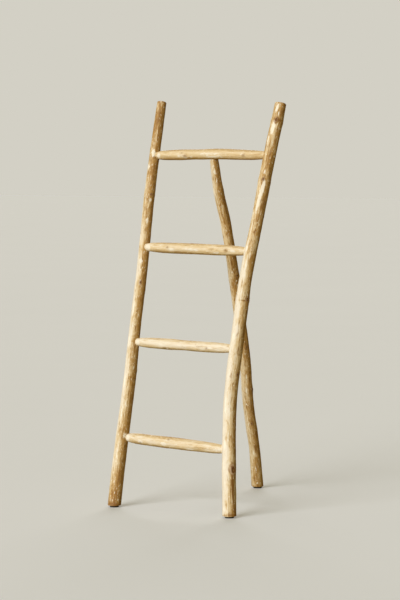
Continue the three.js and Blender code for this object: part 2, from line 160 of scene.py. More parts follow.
# A pole's bends are (fraction of its length, sideways, backwards) in millimetres from
# the straight line between its ends. Its girths are (fraction, diameter). Knots are
# (fraction, angle, radius, height), where the angle runs from the front round to the
# right. Nodes are (fraction, height, width). Pale patches and stains are (fraction,
# angle, half length, half width, strength), and go all round where the half width is 0.
# The pale patches are partly pale wood and partly painted highlights: the long narrow
# ones on the flanks towards the key light paint its sheen.
# Painted light and shade is (fraction, strength): nil at the given shaded angle, on the
# flank away from the key light, and full opposite it, so the side towards the light is
# painted paler and the side away from it darker.
# Tone darkens the whole piece.
LEFT_RAIL = SimpleNamespace(
    bends=((0.15, -4, 4), (0.3, -3, 7), (0.45, -7, 9), (0.6, -7, 9), (0.8, -10, 6)),
    girths=((0, 50), (0.1, 50), (0.2, 48), (0.35, 46), (0.5, 43), (0.7, 40.5), (0.86, 39),
            (0.95, 36.5), (1, 35.5)),
    knots=((0.765, 46, 4.5, 1.5), (0.545, 34, 4, 0.8), (0.33, 140, 7, 1.9), (0.18, -100, 7, 2),
           (0.62, -130, 6, 1.5), (0.875, 190, 5, 1.4), (0.42, 97, 5, 1.2), (0.27, -125, 5, 1),
           (0.48, 230, 6, 1.6)),
    nodes=((0.765, 0.7, 16), (0.53, 0.9, 18), (0.3, 0.7, 20), (0.12, 0.6, 18)),
    pale=((0.868, 20, 15, 8, 1), (0.835, -25, 20, 7, 0.6), (0.752, 50, 9, 3.5, 1),
          (0.7, 34, 16, 4, 0.9), (0.655, -30, 26, 6, 0.5), (0.598, 10, 12, 8, 0.8),
          (0.545, 28, 14, 4, 1), (0.48, -10, 34, 5, 0.7), (0.4, -22, 30, 8, 0.8),
          (0.335, 60, 7, 3, 1), (0.3, -18, 36, 6, 0.8), (0.22, -5, 30, 6, 0.6),
          (0.17, 52, 16, 8, 0.6), (0.12, 5, 40, 7, 0.5), (0.055, -2, 6, 1.3, 0.8),
          (0.012, 55, 3, 1.3, 1), (0.028, 20, 3, 1.2, 1), (0.02, -15, 5, 1.5, 0.9),
          (0.04, 38, 2.5, 1.2, 1), (0.01, 12, 9, 1.2, 0.7), (0.034, 62, 3, 1.2, 0.9),
          (0.66, 175, 30, 9, 0.7), (0.3, 200, 40, 8, 0.7), (0.9, -120, 26, 7, 0.7)),
    stains=((0.95, 30, 60, 50, 0.5), (0.01, 30, 46, 40, 0.75), (0.06, 45, 30, 12, 0.5),
            (0.8, 75, 50, 9, 0.4), (0.5, 90, 60, 10, 0.5), (0.93, 200, 40, 18, 0.5),
            (0.36, -150, 60, 10, 0.5), (0, 0, 7, 0, 0.7)),
    # Painted light and shade: this table and the shaded angle below make the wood paler towards the
    # key light and darker on the flank away from it.
    painted_light_share=((0, 0.58), (0.1, 0.98), (0.22, 1.18), (0.45, 1.22), (0.6, 1.08), (0.75, 0.78),
            (0.9, 0.38), (1, 0.33)),
    tone=0.13,
    painted_shade_angle=100,
    seed=11,
)
RIGHT_RAIL = SimpleNamespace(
    bends=((0.14, -29, -6), (0.28, -50, -12), (0.44, -51, -14), (0.58, -49, -12), (0.72, -33, -8),
           (0.86, -19, -4)),
    girths=((0, 51), (0.12, 51.5), (0.18, 49.5), (0.28, 49), (0.36, 51), (0.46, 49.3),
            (0.52, 50.3), (0.56, 47), (0.62, 48), (0.68, 45.5), (0.86, 47), (0.96, 46),
            (1, 42.5)),
    knots=((0.955, 20, 6, 2.2), (0.808, 14, 5, 2.2), (0.515, 70, 6, 1.5), (0.1065, 64, 12, 3),
           (0.335, 72, 4, 1), (0.33, -120, 7, 2), (0.62, 170, 6, 1.7), (0.885, -100, 5, 1.5),
           (0.23, 205, 7, 1.9), (0.45, 150, 5, 1.5), (0.72, 100, 5, 1.2), (0.56, -70, 5, 1.2),
           (0.05, -150, 6, 1.6)),
    nodes=((0.515, 1.6, 11), (0.955, 1.4, 10), (0.808, 1.2, 14), (0.34, 0.8, 16),
           (0.113, 0.7, 18)),
    # Some of these pale patches are painted highlights, such as the long narrow streaks below the
    # knot near the head.
    pale=((0.985, 2, 15, 6, 1), (0.972, 30, 8, 3, 0.8), (0.936, 5, 24, 7, 1.4),
          (0.905, -20, 24, 5, 0.6), (0.868, 78, 5, 3, 0.9), (0.826, 14, 9, 3, 1),
          (0.791, 27, 22, 4.4, 2), (0.768, 14, 30, 4.2, 1.8), (0.742, 2, 26, 3.2, 1.2),
          (0.83, -55, 26, 6, 0.6), (0.72, -30, 22, 4, 0.6), (0.638, -18, 16, 6, 1),
          (0.62, 30, 18, 3, 0.6), (0.655, 75, 14, 4, 0.5), (0.595, 10, 30, 4, 0.6),
          (0.545, 92, 9, 3.5, 0.9), (0.525, 70, 6, 3, 1), (0.49, 10, 30, 5, 0.4),
          (0.425, -12, 16, 5, 0.7), (0.395, -30, 24, 6, 0.7), (0.33, -12, 30, 6, 0.6),
          (0.26, -14, 40, 6, 0.7), (0.2, -30, 30, 7, 0.6), (0.165, -12, 16, 7, 1),
          (0.12, -20, 30, 6, 0.6), (0.06, -14, 44, 5, 0.45), (0.016, -22, 12, 8, 0.5),
          (0.06, 84, 40, 2, 0.7), (0.8, 190, 30, 9, 0.7), (0.42, 180, 40, 9, 0.7),
          (0.15, 170, 30, 9, 0.6)),
    stains=((0.99, 75, 24, 14, 0.8), (0.956, 42, 5, 16, 1.4), (0.87, 50, 40, 5, 0.5),
            (0.745, 55, 22, 8, 0.6), (0.69, 80, 30, 8, 0.5), (0.52, 60, 10, 22, 0.6),
            (0.511, 45, 2.6, 30, 1.2), (0.34, 70, 12, 8, 0.5), (0.07, 62, 60, 5, 0.8),
            (0.008, 80, 12, 22, 0.7), (0.45, 88, 50, 8, 0.5), (0.6, 200, 60, 12, 0.5),
            (0.25, -160, 50, 10, 0.5), (0.068, 56, 46, 2.2, 1.7), (0.03, 62, 34, 2, 1.4),
            (0.17, 98, 120, 6, 0.6), (0, 0, 5, 0, 1)),
    # Painted light and shade: this table and the shaded angle below make the wood paler towards the
    # key light and darker on the flank away from it.
    painted_light_share=((0, 0.9), (0.1, 1.05), (0.2, 1.05), (0.45, 1), (0.58, 0.85), (0.7, 0.45), (0.85, 0.3),
            (1, 0.25)),
    tone=0,
    painted_shade_angle=122,
    seed=23,
)
PROP_LEG = SimpleNamespace(
    bends=((0.12, 4, 8), (0.26, 3, 8), (0.4, 6, 24), (0.56, 6, 25), (0.7, 6, 22), (0.8, 4, 18),
           (0.9, 0, 2)),
    girths=((0, 47), (0.06, 44.5), (0.12, 42.5), (0.19, 43.5), (0.27, 43), (0.36, 44), (0.7, 40),
            (0.9, 40), (0.95, 36.5), (0.98, 33), (1, 33)),
    knots=((0.645, 66, 4, 1.4), (0.3, 100, 7, 1.8), (0.8, 150, 6, 1.5), (0.16, -110, 6, 1.7),
           (0.5, -150, 6, 1.8), (0.43, 60, 4, 1), (0.2, 40, 4, 0.8), (0.72, -90, 5, 1.2),
           (0.1, 180, 6, 1.6)),
    nodes=((0.64, 1.2, 14), (0.3, 0.9, 18), (0.9, 0.7, 14), (0.18, 0.6, 16)),
    pale=((0.955, 18, 9, 4, 1), (0.93, 30, 12, 3, 0.7), (0.9, -30, 24, 6, 0.5),
          (0.8, -40, 30, 5, 0.5), (0.63, 50, 5, 3, 0.8), (0.26, 12, 4, 3, 1),
          (0.21, 5, 26, 4, 0.6), (0.34, 30, 14, 3, 0.7), (0.3, 22, 18, 4, 0.6),
          (0.016, 30, 4, 3.5, 1), (0.11, 20, 24, 4, 0.5), (0.06, 25, 14, 3, 0.7),
          (0.7, 160, 40, 9, 0.7), (0.35, 200, 40, 9, 0.7)),
    stains=((0.87, 75, 34, 12, 0.7), (0.8, 60, 40, 9, 0.5), (0.7, 70, 36, 10, 0.7),
            (0.62, 30, 20, 12, 0.6), (0.42, 80, 50, 9, 0.6), (0.25, 80, 50, 9, 0.5),
            (0.1, 70, 40, 9, 0.5), (0, 0, 8, 0, 0.8), (0.55, -140, 60, 10, 0.5)),
    # Painted light and shade: this table and the shaded angle below make the wood paler towards the
    # key light and darker on the flank away from it.
    painted_light_share=((0, 0.5), (0.15, 0.75), (0.3, 0.75), (0.5, 0.5), (0.7, 0.5), (0.82, 0.65), (1, 0.85)),
    tone=0.06,
    painted_shade_angle=106,
    seed=37,
)

# A fixed rung's ends rise, and set back from the rails' axes, by (left, right) from
# even spacing. A belly is (fraction of the way between the two cones, diameter). Patchy
# is how much a rung's finish is mottled and flecked. On a rung, angles run from the front
# downwards.
RUNGS = {
    "bottom": SimpleNamespace(
        step=0, rise=(8, -8), back=(6, 0), bow=0,
        belly=((0, 42), (0.3, 44), (0.7, 43), (1, 40)),
        knots=((0.2, 30, 4, 1), (0.46, -40, 4, 0.8), (0.66, 50, 4, 1), (0.35, 170, 5, 1.2),
               (0.8, 200, 4, 1)),
        pale=((0.07, 0, 12, 16, 1.2), (0.2, 20, 12, 7, 1), (0.42, 10, 12, 6, 1),
              (0.66, 35, 20, 4, 0.8), (0.9, 10, 20, 8, 0.5)),
        stains=((0.37, -55, 26, 5, 0.5), (0.76, 5, 16, 7, 0.5), (0.5, -80, 90, 7, 0.5)),
        tone=0.38,
        patchy=0.55,
        seed=41,
    ),
    "lower": SimpleNamespace(
        step=1, rise=(6, 0), back=(0, 0), bow=0,
        belly=((0, 40), (0.3, 41), (0.5, 37), (1, 40)),
        knots=((0.33, 42, 4.5, 1.2), (0.74, 10, 3.5, 0.7), (0.55, 180, 5, 1.2),
               (0.25, -130, 4, 1)),
        pale=((0.07, 0, 10, 12, 1), (0.36, 46, 5, 3, 1), (0.3, 5, 12, 5, 0.6),
              (0.7, 25, 12, 3, 0.9), (0.77, 5, 12, 4, 0.9), (0.5, 5, 40, 6, 0.5)),
        stains=((0.5, -75, 110, 7, 0.6), (0.28, 60, 18, 5, 0.5)),
        tone=0.25,
        patchy=0.5,
        seed=43,
    ),
    "upper": SimpleNamespace(
        step=2, rise=(7, 0), back=(-3, 0), bow=0,
        belly=((0, 41), (0.4, 42.5), (0.8, 42), (1, 39)),
        knots=((0.255, -12, 4, 0.9), (0.79, -4, 4.5, 1.1), (0.5, 150, 5, 1.2), (0.7, -120, 4, 1)),
        pale=((0.065, 0, 12, 16, 1.3), (0.29, 14, 12, 5, 0.9), (0.7, 30, 22, 4, 0.7),
              (0.85, 0, 12, 5, 1), (0.52, 10, 26, 4, 0.6), (0.44, 0, 30, 6, 0.5)),
        stains=((0.23, -20, 12, 6, 0.5), (0.45, -80, 120, 7, 0.6), (0.66, -10, 18, 2.5, 0.7),
                (0.8, -2, 10, 7, 0.5)),
        tone=0.44,
        patchy=0.45,
        seed=47,
    ),
    "top": SimpleNamespace(
        step=3, rise=(0, 0), back=(0, 0), bow=TOP_RUNG_BOW,
        belly=((0, 39.5), (0.12, 41.5), (0.3, 39), (0.55, 41), (0.8, 39), (1, 37.5)),
        knots=((0.295, 14, 5.5, 1.5), (0.33, 32, 3, 0.9), (0.27, -20, 3.5, 0.8),
               (0.79, 2, 4, 0.9), (0.6, 170, 5, 1.3), (0.35, -150, 5, 1.2)),
        pale=((0.065, 5, 9, 12, 0.9), (0.25, 12, 16, 7, 0.5), (0.3, 34, 8, 4, 0.6),
              (0.345, 30, 6, 3, 0.6), (0.54, 30, 50, 5, 0.6), (0.78, -10, 8, 5, 0.4),
              (0.5, -5, 60, 7, 0.5)),
        stains=((0.31, 0, 8, 10, 0.5), (0.5, -80, 130, 7, 0.6), (0.9, 10, 16, 12, 0.4)),
        tone=0.52,
        patchy=0.25,
        seed=53,
    ),
}


def foot_place(pad):
    """The middle of a foot's sawn end, just above its pad."""
    low, high = (np.array(corner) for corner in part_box(pad))
    return np.append((low + high)[:2] / 2, high[2] + CLEARANCE)


FEET = {side: foot_place(f"foot_pad_{side}") for side in ("left", "right", "rear")}
PAD_LOW, PAD_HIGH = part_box("foot_pad_left")
PIVOT = np.array(next(j for j in frame["record"]["behaviour"]["joints"]
                      if j["name"] == "leg_fold")["pos_m"])


# ------------------------------------------------------------------ properties

def length_property(name, description, default, **limits):
    """A property in metres."""
    return FloatProperty(name=name, description=description, default=default, unit="LENGTH",
                         **limits)


def angle_property(name, description, degrees):
    """A property that is an angle."""
    return FloatProperty(name=name, description=description, default=math.radians(degrees),
                         subtype="ANGLE")


def strength_property(name, description, default):
    """A property from 0 upwards."""
    return FloatProperty(name=name, description=description, default=default, min=0)


def colour_property(name, description, *levels):
    """A colour, from 0 to 255 levels."""
    return FloatVectorProperty(name=name, description=description, default=srgb(*levels),
                               subtype="COLOR", size=3, min=0, max=1)


class RACK_PG_sizes(bpy.types.PropertyGroup):
    """The sizes of the rack's handwork."""

    facet_depth: length_property(
        "Facet depth", "How deep the drawknife's flats are cut", 0.55 * MM, min=0)
    ripple: length_property(
        "Ripple", "How far the peeled wood swells and dips", 0.42 * MM, min=0)
    ring_step: length_property(
        "Mesh step", "Distance between a pole's rings of points", 3.2 * MM, min=1 * MM)
    pole_sides: IntProperty(
        name="Pole sides", description="Points round a rail, rung or leg", default=72, min=24)
    sawn_edge: length_property(
        "Sawn edge", "The softened edge of a sawn end", 1.6 * MM, min=0)
    filler_bead: length_property(
        "Filler bead", "Thickness of the filler round a joint", 1.9 * MM, min=0)


class RACK_PG_colours(bpy.types.PropertyGroup):
    """The colours of the rack's finishes."""

    # Cream is the palest wood, and also what the painted light brings out towards the key light.
    cream: colour_property("Bleached wood", "The palest, bleached wood", 241, 232, 215)
    straw: colour_property("Straw wood", "Most of the peeled wood", 225, 202, 158)
    tan: colour_property("Tan streaks", "The darker streaks of the grain", 186, 146, 83)
    bark: colour_property("Inner bark", "What the knife left of the inner bark", 143, 99, 46)
    knot: colour_property("Knot", "The hearts of the knots", 112, 70, 33)
    # Flake also paints the highlights among the pale patches.
    flake: colour_property("Flake", "Pale flakes and patches of the wood", 252, 246, 231)
    filler: colour_property("Filler", "The filler round the fixed joints", 240, 229, 206)
    rubber: colour_property("Rubber", "The foot pads", 30, 29, 28)
    dust: colour_property("Dust", "Dust on the foot pads' scuffs", 96, 90, 82)
    stipple: colour_property("Stipple", "The pads' moulded stipple", 58, 56, 53)
    steel: colour_property("Steel", "Nails, pins and screws", 160, 158, 152)
    rust: colour_property("Rust", "Specks of rust on the steel", 112, 66, 38)


class RACK_PG_stage(bpy.types.PropertyGroup):
    """The floor, the lights and the camera."""

    floor: colour_property("Floor", "The colour of the floor", 217, 221, 226)
    floor_glow: strength_property(
        "Floor glow", "How much the floor is lifted by the studio's light", 0.12)
    key_strength: strength_property(
        "Key light", "Strength of the broad light from the front left", 2.95)
    key_azimuth: angle_property(
        "Key azimuth", "How far round to the left the key light stands", 11)
    light_height: angle_property("Light elevation", "How high both lights stand", 22)
    light_softness: angle_property(
        "Light softness", "How wide each light is, seen from the rack", 40)
    light_colour: FloatVectorProperty(
        name="Light colour", description="The colour of both lights",
        default=(1, 0.98, 0.95), subtype="COLOR", size=3, min=0, max=1)
    back_strength: strength_property("Back light", "Strength of the light from behind", 1.5)
    back_azimuth: angle_property(
        "Back azimuth", "How far round to the left the back light stands", 152)
    fill: strength_property("Fill", "Strength of the light from all round", 0.25)
    fill_colour: FloatVectorProperty(
        name="Fill colour", description="The colour of the light from all round",
        default=(1, 0.79, 0.31), subtype="COLOR", size=3, min=0, max=1)
    backdrop: colour_property("Backdrop", "What is seen behind the rack", 211, 208, 197)
    lens: FloatProperty(
        name="Lens", description="Focal length of the camera",
        default=132, min=10, unit="CAMERA")
    azimuth: angle_property("Azimuth", "How far the camera stands round to the right", 30.6)
    distance: length_property(
        "Distance", "Camera to the middle of the rack, along the floor", 8.358, min=1)
    height: length_property("Height", "Height of the camera above the floor", 1.298)
    pitch: angle_property("Pitch", "How far the camera looks down", 3.641)
    aside: length_property(
        "Aside", "How far to the left of the rack's middle it looks", 66 * MM)


# ------------------------------------------------------------------ curves

def unit(vector):
    """Vectors scaled to a length of 1 along the last axis."""
    return vector / np.linalg.norm(vector, axis=-1, keepdims=True)


def smooth(value):
    """A soft step from 0 to 1."""
    value = np.clip(value, 0, 1)
    return value * value * (3 - 2 * value)


def value_at(pairs, place):
    """The value at a place in a list of (place, value), straight between its entries."""
    places, values = zip(*pairs)
    return np.interp(place, places, values)


class Centreline:
    """A smooth line that is followed by distance, and runs on straight past its ends."""

    STEPS = 60

    def __init__(self, points, reference):
        points = np.array(points, dtype=float)
        before, after = 2 * points[0] - points[1], 2 * points[-1] - points[-2]
        p = np.vstack((before, points, after))
        t = np.linspace(0, 1, self.STEPS, endpoint=False)[:, None]
        pieces = [
            ((2 * p[i]) + (p[i + 1] - p[i - 1]) * t
             + (2 * p[i - 1] - 5 * p[i] + 4 * p[i + 1] - p[i + 2]) * t ** 2
             + (3 * p[i] - p[i - 1] - 3 * p[i + 1] + p[i + 2]) * t ** 3) / 2
            for i in range(1, len(p) - 2)
        ]
        self.samples = np.vstack(pieces + [points[-1:]])
        steps = np.linalg.norm(np.diff(self.samples, axis=0), axis=1)
        self.distances = np.concatenate(((0,), np.cumsum(steps)))
        self.tangents = unit(np.gradient(self.samples, self.distances, axis=0))
        self.length = self.distances[-1]
        self.reference = reference

    def at(self, distance):
        """Centre, tangent, side and front at each distance."""
        distance = np.asarray(distance, dtype=float)
        inside = np.clip(distance, 0, self.length)

        def follow(table):
            return np.stack([np.interp(inside, self.distances, table[:, k])
                             for k in range(3)], axis=-1)

        tangent = unit(follow(self.tangents))
        centre = follow(self.samples) + tangent * (distance - inside)[..., None]
        lean = tangent @ self.reference
        side = unit(self.reference - tangent * lean[..., None])
        return centre, tangent, side, np.cross(side, tangent)

    def point(self, distance, angle, radius):
        """Points of a round surface about the line. The angle runs from front to side."""
        centre, _, side, front = self.at(distance)
        outward = side * np.sin(angle)[..., None] + front * np.cos(angle)[..., None]
        return centre + outward * np.asarray(radius)[..., None]

    def locate(self, points):
        """The distance, angle and radius of points near the line."""
        chord = unit(self.samples[-1] - self.samples[0])
        distance = (points - self.samples[0]) @ chord
        for _ in range(6):
            centre, tangent, side, front = self.at(distance)
            distance = distance + np.sum((points - centre) * tangent, axis=-1)
        centre, _, side, front = self.at(distance)
        away = points - centre
        a, b = np.sum(away * side, axis=-1), np.sum(away * front, axis=-1)
        return distance, np.arctan2(a, b), np.hypot(a, b)


def ripples(points, size, seed, waves=26):
    """Smooth random swellings, about one unit high, of a given (across, across, along) size."""
    random = np.random.default_rng(seed)
    directions = random.normal(size=(waves, 3)) * 1.9 / np.array(size)
    phases = random.uniform(0, FULL_TURN, waves)
    total = np.zeros(points.shape[:-1])
    for direction, phase in zip(directions, phases):
        total += np.cos(points @ direction + phase)
    return total * math.sqrt(2 / waves)


def turn_between(angle, middle):
    """The signed angle from middle to angle, within half a turn."""
    return (angle - middle + math.pi) % FULL_TURN - math.pi


# ------------------------------------------------------------------ shaved branches

class Branch:
    """A peeled and shaved branch: its centreline and everything that shapes its surface."""

    def __init__(self, line, shape, girth, facets):
        self.line = line
        self.shape = shape
        self.girth = girth
        random = np.random.default_rng(shape.seed)
        count, shortest, longest = facets
        self.flats = list(zip(
            random.uniform(0, line.length, count),
            random.uniform(-math.pi, math.pi, count),
            random.uniform(shortest, longest, count),
            random.uniform(0.35, 1, count),
        ))
        self.notches = []
        self.knots = [(f * line.length, math.radians(a), r * MM, h * MM)
                      for f, a, r, h in shape.knots]
        self.nodes = [(f * line.length, h * MM, w * MM)
                      for f, h, w in getattr(shape, "nodes", ())]

    def solid_coordinates(self, distance, angle, radius):
        """Places in the straightened branch: across, across and along."""
        return np.stack((radius * np.sin(angle), radius * np.cos(angle),
                         distance + 0 * angle), axis=-1)

    def radius(self, distance, angle):
        """The surface's radius at each distance and angle."""
        sizes = bpy.context.scene.rack_sizes
        distance, angle = np.broadcast_arrays(distance, angle)
        turned, full = self.girth(distance)
        places = self.solid_coordinates(distance, angle, turned)
        seed = self.shape.seed
        rough = full * sizes.ripple
        swell = sum(strength * ripples(places, size, seed + k)
                    for k, (strength, size) in enumerate(SWELLINGS))
        result = turned + rough * swell
        for place, middle, reach, depth in self.flats:
            along = (distance - place) / reach
            near = (np.abs(along) < 1) & (np.abs(turn_between(angle, middle)) < FLAT_REACH)
            if not near.any():
                continue
            cut_depth = sizes.facet_depth * depth * full[near] * (1 - along[near] ** 2)
            floor = turned[near] + 0.25 * rough[near] * swell[near] - cut_depth
            flat = floor / np.cos(turn_between(angle[near], middle))
            flat = np.where(full[near] > 0.2, flat, 1)
            over = result[near] - flat
            result[near] -= FLAT_SOFTNESS * np.logaddexp(0, over / FLAT_SOFTNESS)
        # A node is a swelling with a groove beside it.
        for place, height, width in self.nodes:
            wander = 0.3 * width * ripples(places, (0.02, 0.02, 1), seed + 5)
            away = (distance - place - wander) / width
            result += full * height * (np.exp(-away ** 2)
                                       - 0.55 * np.exp(-((away - 0.25) * 5) ** 2))
        # A knot is a mound with a hollow in its middle and a rim round that.
        for place, middle, reach, height in self.knots:
            across = turned * turn_between(angle, middle)
            away = np.hypot(across / reach, (distance - place) / (KNOT_LENGTH * reach))
            result += full * height * (np.exp(-0.9 * away ** 2)
                                       - 0.75 * np.exp(-(away / 0.42) ** 2)
                                       + 0.25 * np.exp(-((away - 0.75) / 0.16) ** 2))
        for place, half_width, start, end, floor in self.notches:
            inside = ((np.abs(distance - place) < half_width)
                      & (np.abs(turn_between(angle, (start + end) / 2)) < (end - start) / 2))
            result = np.where(inside, np.minimum(result, floor), result)
        return result

    def paint(self, mesh):
        """Gives a mesh the places and markings that its finish is drawn from, its painted light and
        shade among them.
        """
        points = np.empty(len(mesh.vertices) * 3, dtype=np.float32)
        mesh.vertices.foreach_get("co", points)
        distance, angle, radius = self.line.locate(points.reshape(-1, 3).astype(float))
        nearest = np.full(distance.shape, NO_KNOT)
        bent_angle, bent_distance = angle.copy(), distance.copy()
        for place, middle, reach, _ in self.knots:
            across, along = radius * turn_between(angle, middle), distance - place
            away = np.hypot(across / reach, along / (KNOT_LENGTH * reach))
            nearest = np.minimum(nearest, away)
            # The grain runs round a knot, not through it.
            pull = 0.75 * np.exp(-(along / (2.6 * reach)) ** 2 - (across / (2 * reach)) ** 2)
            bent_angle -= pull * turn_between(angle, middle)
            bent_distance += 0.5 * reach * np.exp(-away ** 2)
        grain = self.solid_coordinates(bent_distance, bent_angle, radius) / MM
        places = self.solid_coordinates(distance, angle, radius)
        nearest *= 1 + 0.12 * ripples(places, (0.007, 0.007, 0.012), self.shape.seed + 7)

        def blotches(rows):
            total = np.zeros(distance.shape)
            for fraction, degrees, length, width, strength in rows:
                across = 0
                if width:
                    across = radius * turn_between(angle, math.radians(degrees)) / (width * MM)
                along = (distance - fraction * self.line.length) / (length * MM)
                total += strength * np.exp(-(across ** 2) - along ** 2)
            return np.clip(total, 0, MOST_MARKING)

        # Painted light and shade: a pole is painted paler on the side towards the key light, by the
        # strength along it, and darker towards its shaded angle, on top of its tone.
        if hasattr(self.shape, "painted_light_share"):
            painted_light = 0.5 - 0.5 * np.cos(angle - math.radians(self.shape.painted_shade_angle))
            tone_and_painted_shading = 1 + self.shape.tone - painted_light * value_at(self.shape.painted_light_share,
                                                             distance / self.line.length)
        else:
            # Painted shade: a rung or the peg is painted darker on its top edge, where the light
            # grazes it, and darker still underneath, on top of its tone.
            over, under = np.maximum(0, -np.sin(angle)), np.maximum(0, np.sin(angle))
            tone_and_painted_shading = self.shape.tone + 0.3 * over ** 3 + 0.55 * under ** 2
        marks = {"pale": blotches(self.shape.pale), "stain": blotches(self.shape.stains),
                 "knot": nearest, "tone_and_painted_shading": tone_and_painted_shading}
        for name, values in marks.items():
            mesh.attributes.new(name, "FLOAT", "POINT").data.foreach_set(
                "value", values.astype(np.float32))
        mesh.attributes.new("grain", "FLOAT_VECTOR", "POINT").data.foreach_set(
            "vector", grain.astype(np.float32).ravel())
        centres = np.empty(len(mesh.polygons) * 3, dtype=np.float32)
        normals = centres.copy()
        mesh.polygons.foreach_get("center", centres)
        mesh.polygons.foreach_get("normal", normals)
        along, _, _ = self.line.locate(centres.reshape(-1, 3).astype(float))
        tangent = self.line.at(along)[1]
        facing = np.abs(np.sum(normals.reshape(-1, 3) * tangent, axis=1))
        at_end = (along < SAWN_START) | (along > self.line.length - SAWN_END)
        mesh.attributes.new("sawn", "FLOAT", "FACE").data.foreach_set(
            "value", ((facing > SAWN_FACING) & at_end).astype(np.float32))


def add_object(name, points, faces):
    """A new object in the scene, from points and faces."""
    mesh = bpy.data.meshes.new(name)
    mesh.from_pydata(points.tolist(), [], faces)
    mesh.update()
    made = bpy.data.objects.new(name, mesh)
    bpy.context.scene.collection.objects.link(made)
    return made


def ring_object(name, rings, *ends):
    """A closed surface from rings of points.

    Two end points close the rings into a bar. With none, the last ring meets the first.
    """
    count, sides = len(rings), len(rings[0])
    faces = [(i * sides + j, i * sides + (j + 1) % sides,
              (i + 1) % count * sides + (j + 1) % sides, (i + 1) % count * sides + j)
             for i in range(count - 1 if ends else count) for j in range(sides)]
    if ends:
        first, last, top = count * sides, count * sides + 1, (count - 1) * sides
        for j in range(sides):
            k = (j + 1) % sides
            faces += [(k, j, first), (top + j, top + k, last)]
    return add_object(name, np.vstack([*rings, *(np.reshape(end, (1, 3)) for end in ends)]),
                      faces)


def turns(count):
    """Angles that divide a full turn."""
    return np.linspace(0, FULL_TURN, count, endpoint=False)


def carve(thing, cutters):
    """Cuts closed meshes out of an object, and deletes them."""
    for cutter in cutters:
        step = thing.modifiers.new("cut", "BOOLEAN")
        step.operation = "DIFFERENCE"
        step.solver = "MANIFOLD"
        step.object = cutter
    depsgraph = bpy.context.evaluated_depsgraph_get()
    before = thing.data
    thing.data = bpy.data.meshes.new_from_object(thing.evaluated_get(depsgraph))
    thing.data.name = thing.name
    thing.modifiers.clear()
    bpy.data.meshes.remove(before)
    for cutter in cutters:
        bpy.data.meshes.remove(cutter.data)
    return thing


def bar(name, origin, direction, profile, sides, bump=None):
    """A straight turned bar from a point, from a profile of (distance, radius)."""
    reference = DOWN if abs(direction[2]) < 0.8 else ACROSS
    line = Centreline([origin, origin + direction], reference)
    angles = turns(sides)
    rows = []
    for distance, radius in profile:
        along = np.full(sides, distance)
        rows.append(line.point(along, angles, radius + (bump(along, angles) if bump else 0)))
    return ring_object(name, rows, line.at(profile[0][0])[0], line.at(profile[-1][0])[0])


def finish_piece(piece, body, material, slot, *nodes, crease=38):
    """Shades a piece, gives it its finish, and ties it to the CAD model."""
    mesh = piece.data
    mesh.materials.clear()
    mesh.materials.append(material)
    mesh.shade_smooth()
    mesh.set_sharp_from_angle(angle=math.radians(crease))
    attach(piece, body)
    if nodes:
        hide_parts(*nodes)
    return piece


# ------------------------------------------------------------------ layout

def pole_line(foot, head, bends):
    """The centreline of a rail or the leg."""
    points = [foot]
    for fraction, side, back in bends:
        points.append(foot + (head - foot) * fraction + np.array((side, back, 0)) * MM)
    points.append(head)
    return Centreline(points, ACROSS)


def pole_girth(line, girths):
    """A girth function: the nominal radius, and how rough the surface is left."""
    def girth(distance):
        turned = value_at(girths, distance / line.length) / 2 * MM
        return turned, np.ones_like(turned)
    return girth


def rail_branch(side):
    """A rail as a branch."""
    shape = {"left": LEFT_RAIL, "right": RIGHT_RAIL}[side]
    splay = HEAD_SPLAY if side == "right" else -HEAD_SPLAY
    head = np.array((FEET[side][0] + splay, FEET[side][1] + LEAN_BACK,
                     RAIL_HEAD_HEIGHTS[side]))
    line = pole_line(FEET[side], head, shape.bends)
    return Branch(line, shape, pole_girth(line, shape.girths), POLE_FACETS)


def rail_at(rail, height):
    """A rail where it passes a height: its axis, radius, and the way straight behind it."""
    low, high = 0.0, rail.line.length
    while high - low > 1e-6:
        middle = (low + high) / 2
        if rail.line.at(middle)[0][2] < height:
            low = middle
        else:
            high = middle
    centre, tangent, _, _ = rail.line.at(low)
    return SimpleNamespace(centre=centre, radius=float(rail.girth(np.array(low))[0]),
                           behind=unit(np.cross(tangent, ACROSS)))


def rung_joints(rails, name):
    """The two joints of a rung: where its axis meets its rails', and the way inward."""
    shape = RUNGS[name]
    top = RAIL_HEAD_HEIGHTS["left"] - TOP_RUNG_DROP
    height = BOTTOM_RUNG_HEIGHT + shape.step * (top - BOTTOM_RUNG_HEIGHT) / RUNG_INTERVALS
    joints = {}
    for side, rise, back, inward in zip(SIDES, shape.rise, shape.back, (1, -1)):
        joint = joints[side] = rail_at(rails[side], height + rise * MM)
        joint.inward = inward
        joint.end = joint.centre + np.array((0, back * MM, 0))
        if name == "top":
            joint.end[1] = PIVOT[1]
    return joints


